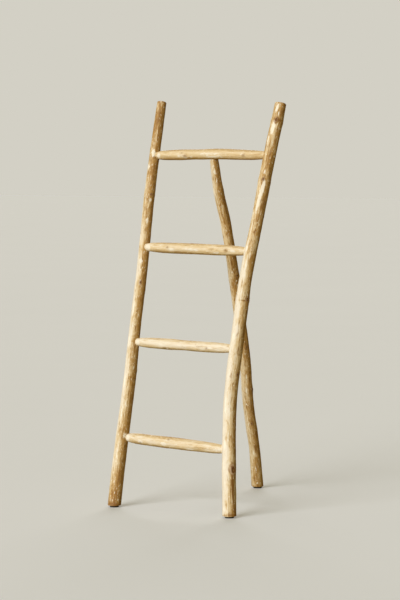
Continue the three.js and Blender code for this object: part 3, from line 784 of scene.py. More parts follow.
def rung_branch(joints, name):
    """A rung as a branch, with its tenons and cones."""
    shape = RUNGS[name]
    left, right = joints["left"], joints["right"]
    along = unit(right.end - left.end)
    start = left.end - along * TENON_PAST_AXIS
    end = right.end + along * TENON_PAST_AXIS
    span = np.linalg.norm(end - start)
    neck_left = TENON_PAST_AXIS + left.radius + TENON_STANDOFF
    neck_right = span - TENON_PAST_AXIS - right.radius - TENON_STANDOFF
    t = np.linspace(0, 1, 41)
    bent = np.clip((t * span - neck_left) / (neck_right - neck_left), 0, 1)
    lift = shape.bow * np.sin(math.pi * bent) ** 2
    line = Centreline(start + (end - start) * t[:, None] + UP * lift[:, None], DOWN)
    belly_start, belly_end = neck_left + CONE_LENGTH, neck_right - CONE_LENGTH

    def girth(distance):
        belly = MM * value_at(shape.belly,
                              (distance - belly_start) / (belly_end - belly_start))
        inward = np.minimum(distance - neck_left, neck_right - distance)
        taper = np.clip(inward / CONE_LENGTH, 0, 1)
        rounded = np.sin(taper * math.pi / 2) ** CONE_FULLNESS
        full = NECK_DIAMETER + (belly - NECK_DIAMETER) * rounded
        nose = np.clip((inward + NOSE_REACH) / (2 * NOSE_REACH), 0, 1)
        nose = np.sqrt(1 - (1 - nose) ** 2)
        diameter = TENON_DIAMETER + (full - TENON_DIAMETER) * nose
        return diameter / 2, smooth((inward - SHAVING_START) / SHAVING_FADE)

    branch = Branch(line, shape, girth, RUNG_FACETS)
    random = np.random.default_rng(shape.seed + 9)
    for neck, inward in ((neck_left, 1), (neck_right, -1)):
        turn = random.uniform(0, 1)
        for k in range(CONE_FLATS):
            branch.flats.append((
                neck + inward * random.uniform(30, 46) * MM,
                FULL_TURN * (k + turn + random.uniform(-0.2, 0.2)) / CONE_FLATS,
                random.uniform(34, 48) * MM, random.uniform(1.2, 2)))
    return branch


def ring_places(start, end, step, fine):
    """Distances for rings of points, with closer ones near some places."""
    places = [np.linspace(start, end, max(2, round((end - start) / step)))]
    for middle, reach in fine:
        near = np.linspace(middle - reach, middle + reach, 11)
        places.append(near[(near > start) & (near < end)])
    merged = np.unique(np.concatenate(places))
    keep = np.concatenate(((True,), np.diff(merged) > FINEST_STEP))
    keep[-1] = True
    return merged[keep]


def cap_rings(line, angles, distance_at, edge_radius, dome):
    """Rings that close an end, from its edge towards its middle."""
    rings = []
    for share in CAP_SHARES:
        radius = edge_radius * share
        rings.append(line.point(distance_at(radius) + dome * (1 - share ** 2), angles, radius))
    return rings


def pole_object(branch, name, rung_radius=0):
    """A rail or the leg, sawn level at its foot.

    Its head is sawn square, or coped and tenoned under a rung of a given radius.
    """
    sizes = bpy.context.scene.rack_sizes
    line, edge = branch.line, sizes.sawn_edge
    angles = turns(sizes.pole_sides)

    def level(radius):
        """How far along the line each generator of the foot meets the sawn level."""
        _, tangent, side, front = line.at(0.0)
        return -radius * (side[2] * np.sin(angles) + front[2] * np.cos(angles)) / tangent[2]

    def cope(radius):
        """Where each generator at this radius meets the rung above."""
        distance = np.full(angles.shape, line.length - 3 * edge)
        for _ in range(12):
            away = line.point(distance, angles, radius) - PIVOT
            height = np.sqrt(np.maximum(rung_radius ** 2 - away[:, 1] ** 2, 0))
            distance = distance - (away[:, 2] + height)
        return distance

    top = line.length - rung_radius
    foot_radius = branch.radius(np.zeros_like(angles), angles)
    head_radius = branch.radius(np.full(angles.shape, top), angles)
    if rung_radius:
        head, shoulder = cope(head_radius), head_radius - 0.3 * edge
        root = np.full(angles.shape, LEG_TENON_DIAMETER / 2)
        tip = np.full(angles.shape, line.length + LEG_TENON_PAST_AXIS)
        closing = [line.point(cope(shoulder), angles, shoulder),
                   line.point(cope(root), angles, root),
                   line.point(tip - TENON_EDGE, angles, root),
                   line.point(tip, angles, root - TENON_EDGE)]
        end = line.at(tip[0])[0]
    else:
        head = top + SAW_WANDER * np.cos(2 * angles + branch.shape.seed)
        closing = cap_rings(line, angles, lambda radius: head, head_radius - edge, HEAD_DOME)
        end = line.at(top + HEAD_DOME)[0]

    fine = [(place, 1.3 * width) for place, _, width in branch.nodes]
    fine += [(place, 1.6 * reach) for place, _, reach, _ in branch.knots]
    levels = ring_places(edge, top - edge, sizes.ring_step, fine)[:, None]
    bottom = 1 - smooth((levels - edge) / END_FADE)
    upper = 1 - smooth((top - edge - levels) / END_FADE)
    distance = levels + bottom * level(foot_radius) + upper * (head - top)
    around = np.broadcast_to(angles, distance.shape)
    rings = cap_rings(line, angles, level, foot_radius - edge, 0)[::-1]
    rings += [*line.point(distance, around, branch.radius(levels, angles)), *closing]
    return ring_object(name, rings, line.samples[0], end)


def rung_object(branch, name):
    """A rung with its tenons, cones and belly."""
    sizes = bpy.context.scene.rack_sizes
    line, angles = branch.line, turns(sizes.pole_sides)
    fine = [(place, 1.6 * reach) for place, _, reach, _ in branch.knots]
    fine += [(place, half_width + 0.01 * MM) for place, half_width, *_ in branch.notches]
    levels = ring_places(TENON_EDGE, line.length - TENON_EDGE, 0.8 * sizes.ring_step, fine)
    along, around = np.broadcast_arrays(levels[:, None], angles)
    rings = list(line.point(along, around, branch.radius(along, around)))
    for share in TENON_CAP_SHARES:
        radius = np.full(angles.shape, TENON_DIAMETER / 2 * share)
        rings.insert(0, line.point(np.zeros_like(angles), angles, radius))
        rings.append(line.point(np.full(angles.shape, line.length), angles, radius))
    return ring_object(name, rings, line.at(0.0)[0], line.at(line.length)[0])


# ------------------------------------------------------------------ finishes

def arithmetic(operation):
    """A method for one of Python's operators, and its reflected form."""
    def plain(self, other):
        return self.nodes.node("ShaderNodeMath", {"operation": operation}, self, other)

    def reflected(self, other):
        return self.nodes.node("ShaderNodeMath", {"operation": operation}, other, self)

    return plain, reflected


class Signal:
    """A shader socket that Python's arithmetic works on."""

    def __init__(self, nodes, socket):
        self.nodes = nodes
        self.socket = socket

    __add__, __radd__ = arithmetic("ADD")
    __sub__, __rsub__ = arithmetic("SUBTRACT")
    __mul__, __rmul__ = arithmetic("MULTIPLY")


class Nodes:
    """A tree of nodes, built one after another."""

    def __init__(self, tree):
        self.tree = tree

    def node(self, kind, settings=None, *values, output=0, **named):
        """Adds a node: its settings first, then the values or links of its sockets."""
        made = self.tree.nodes.new(kind)
        for key, value in (settings or {}).items():
            setattr(made, key, value)
        sockets = [s for s in made.inputs if s.enabled]
        for socket, value in list(zip(sockets, values)) + [
                (made.inputs[key.replace("_", " ")], value) for key, value in named.items()]:
            self._feed(socket, value)
        outputs = [s for s in made.outputs if s.enabled]
        if not outputs:
            return None
        return Signal(self, outputs[output] if isinstance(output, int)
                      else made.outputs[output])

    def _feed(self, socket, value):
        if isinstance(value, Signal):
            self.tree.links.new(value.socket, socket)
        elif value is not None:
            if socket.type == "RGBA" and len(value) == 3:
                value = (*value, 1)
            socket.default_value = value


class Finish(Nodes):
    """A material, with the nodes that finishes are made of."""

    def __init__(self, name):
        self.material = bpy.data.materials.new(name)
        self.material.use_nodes = True
        super().__init__(self.material.node_tree)
        self.shader = next(n for n in self.tree.nodes if n.type == "BSDF_PRINCIPLED")

    def attribute(self, name, output="Fac"):
        """A marking of the mesh."""
        return self.node("ShaderNodeAttribute", {"attribute_name": name}, output=output)

    def stretch(self, vector, scale):
        """A place vector, scaled on each axis."""
        return self.node("ShaderNodeVectorMath", {"operation": "MULTIPLY"}, vector, scale)

    def noise(self, vector, scale, detail=3.0, roughness=0.55, distortion=0.0):
        """Soft noise from 0 to 1, of a given scale on each axis."""
        return self.node("ShaderNodeTexNoise", None, Vector=self.stretch(vector, scale),
                         Scale=1.0, Detail=detail, Roughness=roughness,
                         Distortion=distortion)

    def ramp(self, value, low, high):
        """0 below low, 1 above high, with soft ends."""
        return self.node("ShaderNodeMapRange", {"interpolation_type": "SMOOTHSTEP"},
                         value, low, high, 0.0, 1.0)

    def blend(self, share, first, second, mode="MIX"):
        """A colour between two."""
        return self.node("ShaderNodeMix", {"data_type": "RGBA", "blend_type": mode},
                         share, first, second)

    def bump(self, height, strength, distance):
        """A normal from a height in metres."""
        return self.node("ShaderNodeBump", None, Strength=strength, Distance=distance,
                         Height=height)

    def give(self, **sockets):
        """Sets or links the shader's own sockets."""
        for key, value in sockets.items():
            self._feed(self.shader.inputs[key.replace("_", " ")], value)
        return self.material


def wood_finish(name, contrast=1.0, patchy=1.0, knots=1.0, flecks=1.0):
    """Peeled wood: mottled cream, straw and tan, with inner bark, pale patches and knots, and
    painted light and shade from the mesh's markings; some pale patches are painted highlights.
    """
    colours = bpy.context.scene.rack_colours
    cream, straw, tan = tuple(colours.cream), tuple(colours.straw), tuple(colours.tan)
    bark, heartwood = tuple(colours.bark), tuple(colours.knot)
    flake = tuple(c + (f - c) * flecks for c, f in zip(colours.cream, colours.flake))
    f = Finish(name)
    grain = f.attribute("grain", "Vector")
    knot = f.attribute("knot")
    pale = f.attribute("pale")
    stain = f.attribute("stain")
    tone_and_painted_shading = f.attribute("tone_and_painted_shading")

    mottle = f.noise(grain, (0.055, 0.055, 0.016), 4.0, 0.6, 0.5) - 0.5
    blotch = f.noise(grain, (0.13, 0.13, 0.038), 3.5, 0.62, 0.6) - 0.5
    streak = f.noise(grain, (0.24, 0.24, 0.009), 3.0, 0.6, 0.4) - 0.5
    fibre = f.noise(grain, (1.15, 1.15, 0.035), 4.0, 0.65)
    fleck = f.noise(grain, (0.34, 0.34, 0.085), 3.0, 0.6)
    speck = f.noise(grain, (0.9, 0.9, 0.4), 2.0, 0.5)

    # Painted light and shade from the mesh, with the mottling and stains, picks cream, straw or
    # tan.
    mottle_and_painted_shading = (tone_and_painted_shading + mottle * (1.5 * patchy) + blotch * (0.7 * patchy) + streak * (1.2 * contrast)
           + stain * 0.3 - pale * 0.25)
    colour = f.blend(f.ramp(mottle_and_painted_shading, 0.12, 0.62), cream, straw)
    colour = f.blend(f.ramp(mottle_and_painted_shading, 0.5, 1.0), colour, tan)
    # Inner bark, a little heavier where the painted shade is.
    bast_with_painted_shade = f.ramp(blotch + streak * 0.6 + tone_and_painted_shading * 0.14 + stain * 0.2 - pale * 0.15, 0.12, 0.34)
    colour = f.blend(bast_with_painted_shade * (0.75 * patchy), colour, bark)
    # Pale patches in the flake colour; some of them are painted highlights.
    patch = f.ramp(pale + (fleck - 0.5) * 1.6 + (fibre - 0.5) * 0.4, 0.32, 0.56)
    colour = f.blend(patch * 0.9, colour, flake)
    flecked = f.ramp(fleck - blotch * 0.25, 0.62, 0.67) * 0.9
    colour = f.blend(flecked, colour, flake)
    seep = f.ramp(stain + (fibre - 0.5) * 0.6, 0.85, 1.25)
    colour = f.blend(seep * 0.7, colour, bark)
    dots = f.ramp(speck + blotch * 0.2, 0.68, 0.76)
    colour = f.blend(dots * (0.6 * contrast), colour, bark)
    tone = f.node("ShaderNodeMapRange", None, fibre, 0.25, 0.75, 1 - 0.16 * contrast,
                  1 + 0.08 * contrast)
    shades = f.node("ShaderNodeCombineColor", None, tone, tone, tone)
    colour = f.blend(1.0, colour, shades, "MULTIPLY")

    ragged = knot + (fleck - 0.5) * 0.4
    heart = 1 - f.ramp(ragged, 0.45, 0.75)
    halo = (1 - f.ramp(ragged, 0.75, 1.8)) * (0.8 * knots)
    rim = f.ramp(ragged, 0.68, 0.84) * (1 - f.ramp(ragged, 0.88, 1.05))
    colour = f.blend(halo, colour, bark)
    colour = f.blend(rim * (0.25 * knots), colour, cream)
    colour = f.blend(heart * knots, colour, heartwood)
    core = 1 - f.ramp(ragged, 0.16, 0.4)
    colour = f.blend(core * (0.35 * knots), colour, tan)

    flat = f.stretch(grain, (1, 1, 0))
    reach = f.node("ShaderNodeVectorMath", {"operation": "LENGTH"}, flat, output="Value")
    spoke = f.node("ShaderNodeVectorMath", {"operation": "NORMALIZE"}, flat)
    ring = f.node("ShaderNodeMath", {"operation": "SINE"},
                  reach * 2.6 + f.noise(flat, (0.12, 0.12, 0.12), 2.0) * 5.0)
    rays = f.noise(spoke, (7.0, 7.0, 7.0), 3.0, 0.7)
    end_colour = f.blend(ring * 0.22 + 0.42, straw, bark)
    end_colour = f.blend(f.ramp(rays, 0.62, 0.68) * f.ramp(reach, 2.0, 7.0) * 0.8, end_colour,
                         heartwood)
    end_colour = f.blend((1 - f.ramp(reach, 0.8, 2.4)) * 0.8, end_colour, heartwood)
    colour = f.blend(f.attribute("sawn"), colour, end_colour)

    rough = 0.50 + fibre * 0.22 + patch * 0.1 + heart * 0.12
    height = (fibre * 0.55 + streak * 0.6 + fleck * 0.5 - heart * 0.6 - dots * 0.35
              + blotch * 0.7)
    return f.give(Base_Color=colour, Roughness=rough, Normal=f.bump(height, 0.55, 0.0011),
                  Specular_IOR_Level=0.35)


def filler_finish():
    """Pale filler, dry and grainy, with a little wood dust in it."""
    colours = bpy.context.scene.rack_colours
    f = Finish("joint_filler")
    place = f.node("ShaderNodeTexCoord", output="Object")
    grains = f.noise(place, (900, 900, 900), 3.0, 0.6)
    smears = f.noise(place, (160, 160, 160), 3.0, 0.6)
    colour = f.blend(f.ramp(smears, 0.42, 0.7) * 0.7, tuple(colours.filler), tuple(colours.straw))
    colour = f.blend(f.ramp(grains, 0.66, 0.75) * 0.5, colour, tuple(colours.tan))
    return f.give(Base_Color=colour, Roughness=0.72 + grains * 0.2,
                  Normal=f.bump(grains + smears * 1.5, 0.5, 0.0006))


def steel_finish(name, rust):
    """Dulled steel with drawn scratches and specks of rust."""
    colours = bpy.context.scene.rack_colours
    f = Finish(name)
    place = f.node("ShaderNodeTexCoord", output="Object")
    scratches = f.noise(place, (2600, 700, 2600), 3.0, 0.6)
    blooms = f.noise(place, (420, 420, 420), 4.0, 0.65)
    rusty = f.ramp(blooms + (scratches - 0.5) * 0.2, 0.62 - rust, 0.74 - rust)
    colour = f.blend(scratches * 0.5, tuple(colours.steel), tuple(c * 0.55 for c in colours.steel))
    colour = f.blend(rusty * 0.8, colour, tuple(colours.rust))
    return f.give(Base_Color=colour, Metallic=1 - rusty * 0.85,
                  Roughness=0.34 + scratches * 0.2 + rusty * 0.3,
                  Normal=f.bump(scratches + rusty, 0.35, 0.0003))


def rubber_finish():
    """Black moulded rubber, scuffed and dusty at its rim."""
    colours = bpy.context.scene.rack_colours
    f = Finish("pad_rubber")
    place = f.node("ShaderNodeTexCoord", output="Object")
    stipple = f.noise(place, (1500, 1500, 1500), 2.0, 0.5)
    scuffs = f.noise(place, (240, 240, 520), 4.0, 0.65, 0.5)
    dust = f.ramp(scuffs, 0.5, 0.72)
    colour = f.blend(dust * 0.35, tuple(colours.rubber), tuple(colours.dust))
    colour = f.blend(f.ramp(stipple, 0.6, 0.75) * 0.25, colour, tuple(colours.stipple))
    return f.give(Base_Color=colour, Roughness=0.6 + dust * 0.25 + stipple * 0.08,
                  Normal=f.bump(stipple + scuffs * 0.8, 0.45, 0.0004))


# ------------------------------------------------------------------ shared layout

@functools.lru_cache(maxsize=None)
def layout():
    """The rails, rungs and leg as branches, and their joints, worked out once."""
    rails = {side: rail_branch(side) for side in SIDES}
    joints = {name: rung_joints(rails, name) for name in RUNGS}
    rungs = {name: rung_branch(joints[name], name) for name in RUNGS}
    head = PIVOT + ACROSS * (LEG_SIDE + (FEET["left"][0] + FEET["right"][0]) / 2 - PIVOT[0])
    line = pole_line(FEET["rear"], head, PROP_LEG.bends)
    leg = Branch(line, PROP_LEG, pole_girth(line, PROP_LEG.girths), LEG_FACETS)
    return SimpleNamespace(rails=rails, joints=joints, rungs=rungs, leg=leg)


def fastener_place(joint):
    """Where a fastener enters a rail from behind: its head, its way in, its depth."""
    on_axis = joint.end + ACROSS * joint.inward * FASTENER_INSET
    offset = (joint.centre - on_axis) @ joint.behind
    depth = math.sqrt(joint.radius ** 2 - FASTENER_INSET ** 2) + offset - FASTENER_SINK
    return SimpleNamespace(head=on_axis + joint.behind * depth, way_in=-joint.behind,
                           depth=depth)


def peg_place():
    """Where the peg enters the top rung, its way in, and its length."""
    line = layout().leg.line
    centre, tangent, _, _ = line.at(line.length)
    behind = unit(np.cross(tangent, ACROSS))
    depth = value_at(RUNGS["top"].belly, 0.5) / 2 * MM - FASTENER_SINK
    return SimpleNamespace(head=centre + behind * depth, way_in=-behind,
                           length=depth + LEG_TENON_DIAMETER / 2 + PEG_PAST_TENON)


def hole(origin, direction, start, end, radius, sides):
    """A cutter for a round hole."""
    radius += CLEARANCE
    return bar("cutter", origin, direction, ((start, radius), (end, radius)), sides)


def peg_hole():
    """A cutter for the peg's hole."""
    peg = peg_place()
    return hole(peg.head, peg.way_in, -CUTTER_RUNOUT, peg.length + CLEARANCE, PEG_RADIUS, 36)


def nail_hole(fastener):
    """A cutter for a nail's hole and its sunk head."""
    wide, narrow = NAIL_HEAD_RADIUS + CLEARANCE, NAIL_RADIUS + CLEARANCE
    step, end = NAIL_HEAD_THICKNESS + CLEARANCE, NAIL_LENGTH + CLEARANCE
    return bar("cutter", fastener.head, fastener.way_in,
               ((-CUTTER_RUNOUT, wide), (step, wide), (step, narrow), (end, narrow)), 28)


def socket(rung, side):
    """A cutter for a mortise that fits a rung's tenon and rounded nose."""
    line = rung.line
    depths = np.concatenate(((-CLEARANCE, 0.2 * MM), np.linspace(2 * MM, SOCKET_DEPTH, 23)))
    if side == "right":
        depths = (line.length - depths)[::-1]
    radii = rung.girth(depths)[0] + CLEARANCE
    rings = line.point(*np.broadcast_arrays(depths[:, None], turns(64), radii[:, None]))
    return ring_object("cutter", rings, line.at(depths[0])[0], line.at(depths[-1])[0])


def name_seed(name):
    """A whole number that differs from name to name."""
    return sum(ord(letter) for letter in name)


# ------------------------------------------------------------------ operators

class RACK_OT_rails(bpy.types.Operator):
    """Make the two rails, with their mortises and nail holes"""

    bl_idname = "rack.rails"
    bl_label = "Rails"

    def execute(self, context):
        made = layout()
        for side, rail in made.rails.items():
            wood = wood_finish(f"rail_wood_{side}")
            piece = pole_object(rail, f"rail_{side}_wood")
            cutters = []
            for name, joints in made.joints.items():
                cutters.append(socket(made.rungs[name], side))
                fastener = fastener_place(joints[side])
                if name == "top":
                    cutters.append(hole(fastener.head, fastener.way_in, -CUTTER_RUNOUT,
                                        fastener.depth - PIN_HOLE_STOP, STOP_PIN_RADIUS, 28))
                else:
                    cutters.append(nail_hole(fastener))
            carve(piece, cutters)
            rail.paint(piece.data)
            finish_piece(piece, "ladder", wood, "rail_wood", f"rail_{side}")
        return {"FINISHED"}


class RACK_OT_rungs(bpy.types.Operator):
    """Make the four rungs"""

    bl_idname = "rack.rungs"
    bl_label = "Rungs"

    def execute(self, context):
        made = layout()
        for name, rung in made.rungs.items():
            joints, patchy = made.joints[name].values(), RUNGS[name].patchy
            wood = wood_finish(f"rung_wood_{name}", contrast=0.65, patchy=patchy, knots=0.35,
                               flecks=patchy)
            if name == "top":
                rung.notches = [self.stop_groove(rung, joint) for joint in joints]
                line, body = made.leg.line, "prop"
                cutters = [hole(line.samples[-1], line.at(line.length)[1], -LEG_SOCKET_START,
                                LEG_TENON_PAST_AXIS + CLEARANCE, LEG_TENON_DIAMETER / 2, 48),
                           peg_hole()]
            else:
                body = "ladder"
                cutters = [nail_hole(fastener_place(joint)) for joint in joints]
            piece = rung_object(rung, f"rung_{name}_wood")
            carve(piece, cutters)
            rung.paint(piece.data)
            finish_piece(piece, body, wood, "rung_wood", f"rung_{name}")
        return {"FINISHED"}

    @staticmethod
    def stop_groove(rung, joint):
        """A part-turn groove in a tenon: its place, half width, two ends and floor."""
        half_width = STOP_PIN_RADIUS + 2 * CLEARANCE
        half_turn = math.asin(half_width / STOP_GROOVE_FLOOR)
        start = math.atan2(-joint.behind[2], -joint.behind[1]) - half_turn
        place = TENON_PAST_AXIS + FASTENER_INSET
        if joint.inward < 0:
            place = rung.line.length - place
        return place, half_width, start, start + 2 * half_turn + LEG_FOLD, STOP_GROOVE_FLOOR


class RACK_OT_leg(bpy.types.Operator):
    """Make the prop leg, with its tenon and the peg that locks it"""

    bl_idname = "rack.leg"
    bl_label = "Prop leg"

    def execute(self, context):
        leg = layout().leg
        wood = wood_finish("leg_wood")
        under_rung = value_at(RUNGS["top"].belly, 0.45) / 2 * MM + 2 * CLEARANCE
        piece = pole_object(leg, "prop_leg_wood", under_rung)
        carve(piece, [peg_hole()])
        leg.paint(piece.data)
        finish_piece(piece, "prop", wood, "rail_wood", "prop_leg")

        peg = peg_place()
        profile = ((-0.5 * MM, 0.55 * PEG_RADIUS), (-0.2 * MM, 0.85 * PEG_RADIUS),
                   (0.4 * MM, PEG_RADIUS), (peg.length / 2, 0.985 * PEG_RADIUS),
                   (peg.length - TENON_EDGE, PEG_RADIUS),
                   (peg.length, PEG_RADIUS - TENON_EDGE))
        dowel = bar("leg_peg_wood", peg.head, peg.way_in, profile, 36,
                    lambda along, angle: 0.12 * MM * np.cos(12 * angle))
        shape = SimpleNamespace(seed=61, tone=0.9, knots=(), pale=(), stains=((0, 0, 4, 0, 1),))
        line = Centreline([peg.head, peg.head + peg.way_in * peg.length], DOWN)
        Branch(line, shape, None, (0, 1, 2)).paint(dowel.data)
        peg_wood = wood_finish("peg_wood", contrast=0.6, patchy=0.6)
        finish_piece(dowel, "prop", peg_wood, "peg_wood", "leg_peg")
        return {"FINISHED"}


class RACK_OT_filler(bpy.types.Operator):
    """Make the beads of filler round the fixed rungs' joints"""

    bl_idname = "rack.filler"
    bl_label = "Joint filler"

    def execute(self, context):
        made = layout()
        filler = filler_finish()
        for name in RUNGS:
            if name == "top":
                continue
            for side in SIDES:
                path = self.seam(made.rungs[name], made.rails[side], side)
                piece = self.bead(path, name_seed(name + side), f"filler_{name}_{side}")
                finish_piece(piece, "ladder", filler, None)
        return {"FINISHED"}

    @staticmethod
    def seam(rung, rail, side):
        """The closed line along which a rung's surface meets its rail's."""
        angles = turns(72)
        near, far = SEAM_NEAR, SEAM_FAR
        if side == "right":
            near, far = rung.line.length - near, rung.line.length - far
        low, high = np.full(angles.shape, near), np.full(angles.shape, far)
        for _ in range(16):
            middle = (low + high) / 2
            points = rung.line.point(middle, angles, rung.radius(middle, angles))
            distance, around, radius = rail.line.locate(points)
            inside = radius < rail.radius(distance, around)
            low, high = np.where(inside, middle, low), np.where(inside, high, middle)
        return rung.line.point(high, angles, rung.radius(high, angles))

    @staticmethod
    def bead(path, seed, name):
        """An uneven bead along a closed line."""
        thickness = bpy.context.scene.rack_sizes.filler_bead
        ahead = unit(np.roll(path, -1, axis=0) - np.roll(path, 1, axis=0))
        outward = path - path.mean(axis=0)
        outward = unit(outward - ahead * np.sum(outward * ahead, axis=1)[:, None])
        across = np.cross(ahead, outward)
        uneven = (1 + 0.3 * ripples(path, (0.009,) * 3, seed)
                  + 0.14 * ripples(path, (0.003,) * 3, seed + 1))
        radius = thickness * np.clip(uneven, 0.45, 1.7)
        rings = [path + outward * (radius * 0.75 * math.cos(turn))[:, None]
                 + across * (radius * 1.2 * math.sin(turn))[:, None] for turn in turns(12)]
        return ring_object(name, rings)


class RACK_OT_fasteners(bpy.types.Operator):
    """Make the nails of the fixed rungs and the stop pins of the top rung"""

    bl_idname = "rack.fasteners"
    bl_label = "Nails and pins"

    def execute(self, context):
        nail_steel, pin_steel = steel_finish("nail_steel", 0.08), steel_finish("pin_steel", 0)
        for name, joints in layout().joints.items():
            for side, joint in joints.items():
                fastener = fastener_place(joint)
                if name == "top":
                    self.stop_pin(side, fastener, pin_steel)
                else:
                    self.nail(f"{name}_{side}", fastener, nail_steel)
        return {"FINISHED"}

    @staticmethod
    def nail(name, fastener, steel):
        """A wire nail with a dented head, grip rings and a cut point."""
        length = NAIL_LENGTH / MM
        profile = [(0.15, 0.6), (0.05, 1.9), (0.1, 2.8), (0.45, 3.2), (1.1, 3.25), (1.6, 2.9),
                   (1.65, 1.75)]
        for k in range(6):
            profile += [(2.2 + 1.1 * k, 1.7), (2.6 + 1.1 * k, 1.56)]
        profile += [(9.2, 1.7), (length - 4, 1.7), (length, 0.4)]

        def dents(along, angle):
            return 0.08 * MM * np.cos(3 * angle + name_seed(name)) * (along < 2 * MM)

        piece = bar(f"nail_{name}_steel", fastener.head, fastener.way_in,
                    np.array(profile) * MM, 28, dents)
        finish_piece(piece, "ladder", steel, "steel", f"nail_{name}", crease=30)

    @staticmethod
    def stop_pin(side, fastener, steel):
        """A steel pin with chamfered ends and a drive groove."""
        radius = STOP_PIN_RADIUS / MM
        length = (fastener.depth - STOP_GROOVE_FLOOR - CLEARANCE) / MM
        profile = ((0.1, radius * 0.35), (0, radius * 0.6), (0, radius - 0.5), (0.5, radius),
                   (3, radius), (3.4, radius - 0.2), (3.9, radius - 0.2), (4.3, radius),
                   (length - 0.6, radius), (length, radius - 0.6))
        piece = bar(f"stop_pin_{side}_steel", fastener.head, fastener.way_in,
                    np.array(profile) * MM, 32)
        finish_piece(piece, "ladder", steel, "steel", f"stop_pin_{side}", crease=30)


class RACK_OT_feet(bpy.types.Operator):
    """Make the rubber pads under the feet, and their screws"""

    bl_idname = "rack.feet"
    bl_label = "Foot pads"

    def execute(self, context):
        rubber, steel = rubber_finish(), steel_finish("screw_steel", 0.03)
        for side, foot in FEET.items():
            body = "prop" if side == "rear" else "ladder"
            base = np.array((foot[0], foot[1], 0))
            self.pad(side, base, body, rubber)
            self.screw(side, base, body, steel)
        return {"FINISHED"}

    @staticmethod
    def pad(side, base, body, rubber):
        """A round moulded pad with a tread, a worn rim and a recess for its screw."""
        r, t = (PAD_HIGH[0] - PAD_LOW[0]) / 2 / MM, PAD_HIGH[2] / MM
        outline = [(2.1, t), (r - 1.4, t), (r - 0.6, t - 0.2), (r - 0.15, t - 0.7), (r, t - 1.3),
                   (r, t * 0.62), (r - 0.45, t * 0.57), (r - 0.45, t * 0.5), (r, t * 0.45),
                   (r - 0.05, 1.2), (r - 0.4, 0.45), (r - 1.1, 0.05), (r - 2.4, 0),
                   (r - 3.2, 0), (r - 3.5, 0.6), (r - 4.3, 0.6), (r - 4.6, 0),
                   (r - 6.6, 0), (r - 6.9, 0.6), (r - 7.7, 0.6), (r - 8, 0), (5.2, 0),
                   (4.5, 0.3), (4.3, 0.8), (4.3, 3.3), (2.1, 3.3)]
        angles = turns(64)
        worn = 0.12 * np.cos(3 * angles + len(side)) - 0.12
        rings = []
        for radius, height in reversed(outline):
            around = radius + worn * (radius > r - 1)
            rings.append(np.stack((around * np.cos(angles), around * np.sin(angles),
                                   np.full(64, height)), axis=-1) * MM + base)
        piece = ring_object(f"foot_pad_{side}_rubber", rings)
        finish_piece(piece, body, rubber, "pad_rubber", f"foot_pad_{side}", crease=32)

    @staticmethod
    def screw(side, base, body, steel):
        """A slotted wood screw that holds a pad."""
        profile = [(1.5, 2.6), (1.2, 3.2), (1.35, 3.75), (1.8, 4), (3, 4), (3.01, 1.75)]
        profile += [(3.6 + 0.55 * k, 1.75 if k % 2 else 1.38) for k in range(34)]
        profile += [(24.5, 1.3), (29, 0.3)]
        piece = bar(f"pad_screw_{side}_steel", base, UP, np.array(profile) * MM, 32)
        corners = np.array([(x, y, z) for z in (0.2, 2) for y in (-0.6, 0.6) for x in (-6, 6)])
        slot = add_object("cutter", base + corners * MM, [
            (0, 2, 3, 1), (4, 5, 7, 6), (0, 1, 5, 4), (2, 6, 7, 3), (0, 4, 6, 2), (1, 3, 7, 5)])
        carve(piece, [slot])
        finish_piece(piece, body, steel, "steel", f"pad_screw_{side}", crease=30)


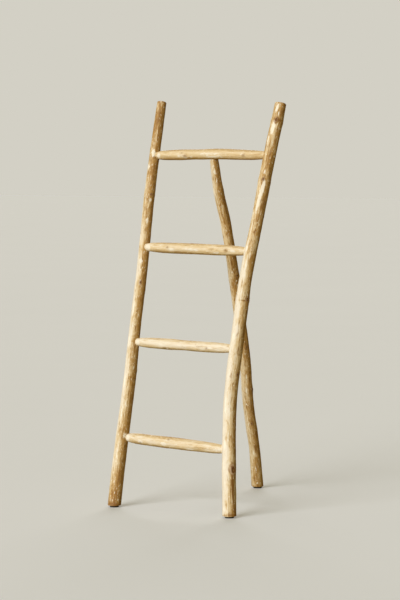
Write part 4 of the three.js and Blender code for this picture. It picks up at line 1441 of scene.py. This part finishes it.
class RACK_OT_stage(bpy.types.Operator):
    """Make the floor, the lights and the camera"""

    bl_idname = "rack.stage"
    bl_label = "Stage"

    def execute(self, context):
        stage = context.scene.rack_stage
        self.floor(stage)
        self.lights(context, stage)
        self.camera(context, stage)
        context.scene.view_settings.view_transform = "Standard"
        return {"FINISHED"}

    @staticmethod
    def floor(stage):
        """A wide plain floor."""
        corners = np.array(((-1, -1, 0), (1, -1, 0), (1, 1, 0), (-1, 1, 0))) * FLOOR_REACH
        piece = add_object("floor", corners, [(0, 1, 2, 3)])
        f = Finish("floor_paint")
        place = f.node("ShaderNodeTexCoord", output="Object")
        cloud = f.noise(place, (0.8, 0.8, 0.8), 3.0, 0.6)
        colour = f.blend(cloud * 0.3, tuple(stage.floor), tuple(c * 0.92 for c in stage.floor))
        piece.data.materials.append(f.give(Base_Color=colour, Roughness=1.0,
                                           Specular_IOR_Level=0.05, Emission_Color=colour,
                                           Emission_Strength=stage.floor_glow))
        piece.visible_diffuse = False
        piece.visible_glossy = False

    @staticmethod
    def lights(context, stage):
        """Broad soft lights from the front and the back left, and a dim warm fill."""
        for name, strength, azimuth in (("key", stage.key_strength, stage.key_azimuth),
                                        ("back", stage.back_strength, stage.back_azimuth)):
            lamp = bpy.data.lights.new(name, "SUN")
            lamp.energy, lamp.angle, lamp.color = strength, stage.light_softness, stage.light_colour
            light = bpy.data.objects.new(name, lamp)
            level = math.cos(stage.light_height)
            place = Vector((-math.sin(azimuth) * level, -math.cos(azimuth) * level,
                            math.sin(stage.light_height)))
            light.location = place * LAMP_DISTANCE
            light.rotation_euler = (-place).to_track_quat("-Z", "Y").to_euler()
            context.scene.collection.objects.link(light)
        world = bpy.data.worlds.new("studio")
        world.use_nodes = True
        world.node_tree.nodes.clear()
        nodes = Nodes(world.node_tree)
        glow = nodes.node("ShaderNodeBackground", None, tuple(stage.fill_colour), stage.fill)
        backdrop = nodes.node("ShaderNodeBackground", None, tuple(stage.backdrop))
        seen = nodes.node("ShaderNodeLightPath", output="Is Camera Ray")
        either = nodes.node("ShaderNodeMixShader", None, seen, glow, backdrop)
        nodes.node("ShaderNodeOutputWorld", None, either)
        context.scene.world = world

    @staticmethod
    def camera(context, stage):
        """The camera at the rack's right front."""
        turn = stage.azimuth
        back = np.array((math.sin(turn), -math.cos(turn), 0))
        right = np.array((math.cos(turn), math.sin(turn), 0))
        lens = bpy.data.cameras.new("camera")
        lens.lens, lens.sensor_width = stage.lens, SENSOR_WIDTH
        camera = bpy.data.objects.new("camera", lens)
        camera.location = back * stage.distance - right * stage.aside + UP * stage.height
        camera.rotation_euler = (math.pi / 2 - stage.pitch, 0, turn)
        context.scene.collection.objects.link(camera)
        context.scene.camera = camera


OPERATORS = (RACK_OT_rails, RACK_OT_rungs, RACK_OT_leg, RACK_OT_filler, RACK_OT_fasteners,
             RACK_OT_feet, RACK_OT_stage)


class RACK_PT_panel(bpy.types.Panel):
    """Lists the steps that make the rack"""

    bl_idname = "RACK_PT_panel"
    bl_label = "Ladder rack"
    bl_space_type = "VIEW_3D"
    bl_region_type = "UI"
    bl_category = "Ladder rack"

    def draw(self, context):
        for operator in OPERATORS:
            self.layout.operator(operator.bl_idname)
        for group in (context.scene.rack_sizes, context.scene.rack_colours,
                      context.scene.rack_stage):
            box = self.layout.box()
            for name in group.__annotations__:
                box.prop(group, name)


GROUPS = {"rack_sizes": RACK_PG_sizes, "rack_colours": RACK_PG_colours,
          "rack_stage": RACK_PG_stage}
CLASSES = (*GROUPS.values(), *OPERATORS, RACK_PT_panel)


def register():
    """Adds the classes, and the scene's groups of properties."""
    for item in CLASSES:
        bpy.utils.register_class(item)
    for name, group in GROUPS.items():
        setattr(bpy.types.Scene, name, PointerProperty(type=group))


def unregister():
    """Takes away what register adds."""
    for name in GROUPS:
        delattr(bpy.types.Scene, name)
    for item in reversed(CLASSES):
        bpy.utils.unregister_class(item)


def main():
    """Makes the rack and its stage."""
    register()
    for operator in (bpy.ops.rack.rails, bpy.ops.rack.rungs, bpy.ops.rack.leg,
                     bpy.ops.rack.filler, bpy.ops.rack.fasteners, bpy.ops.rack.feet,
                     bpy.ops.rack.stage):
        operator()


if __name__ == "__main__":
    main()
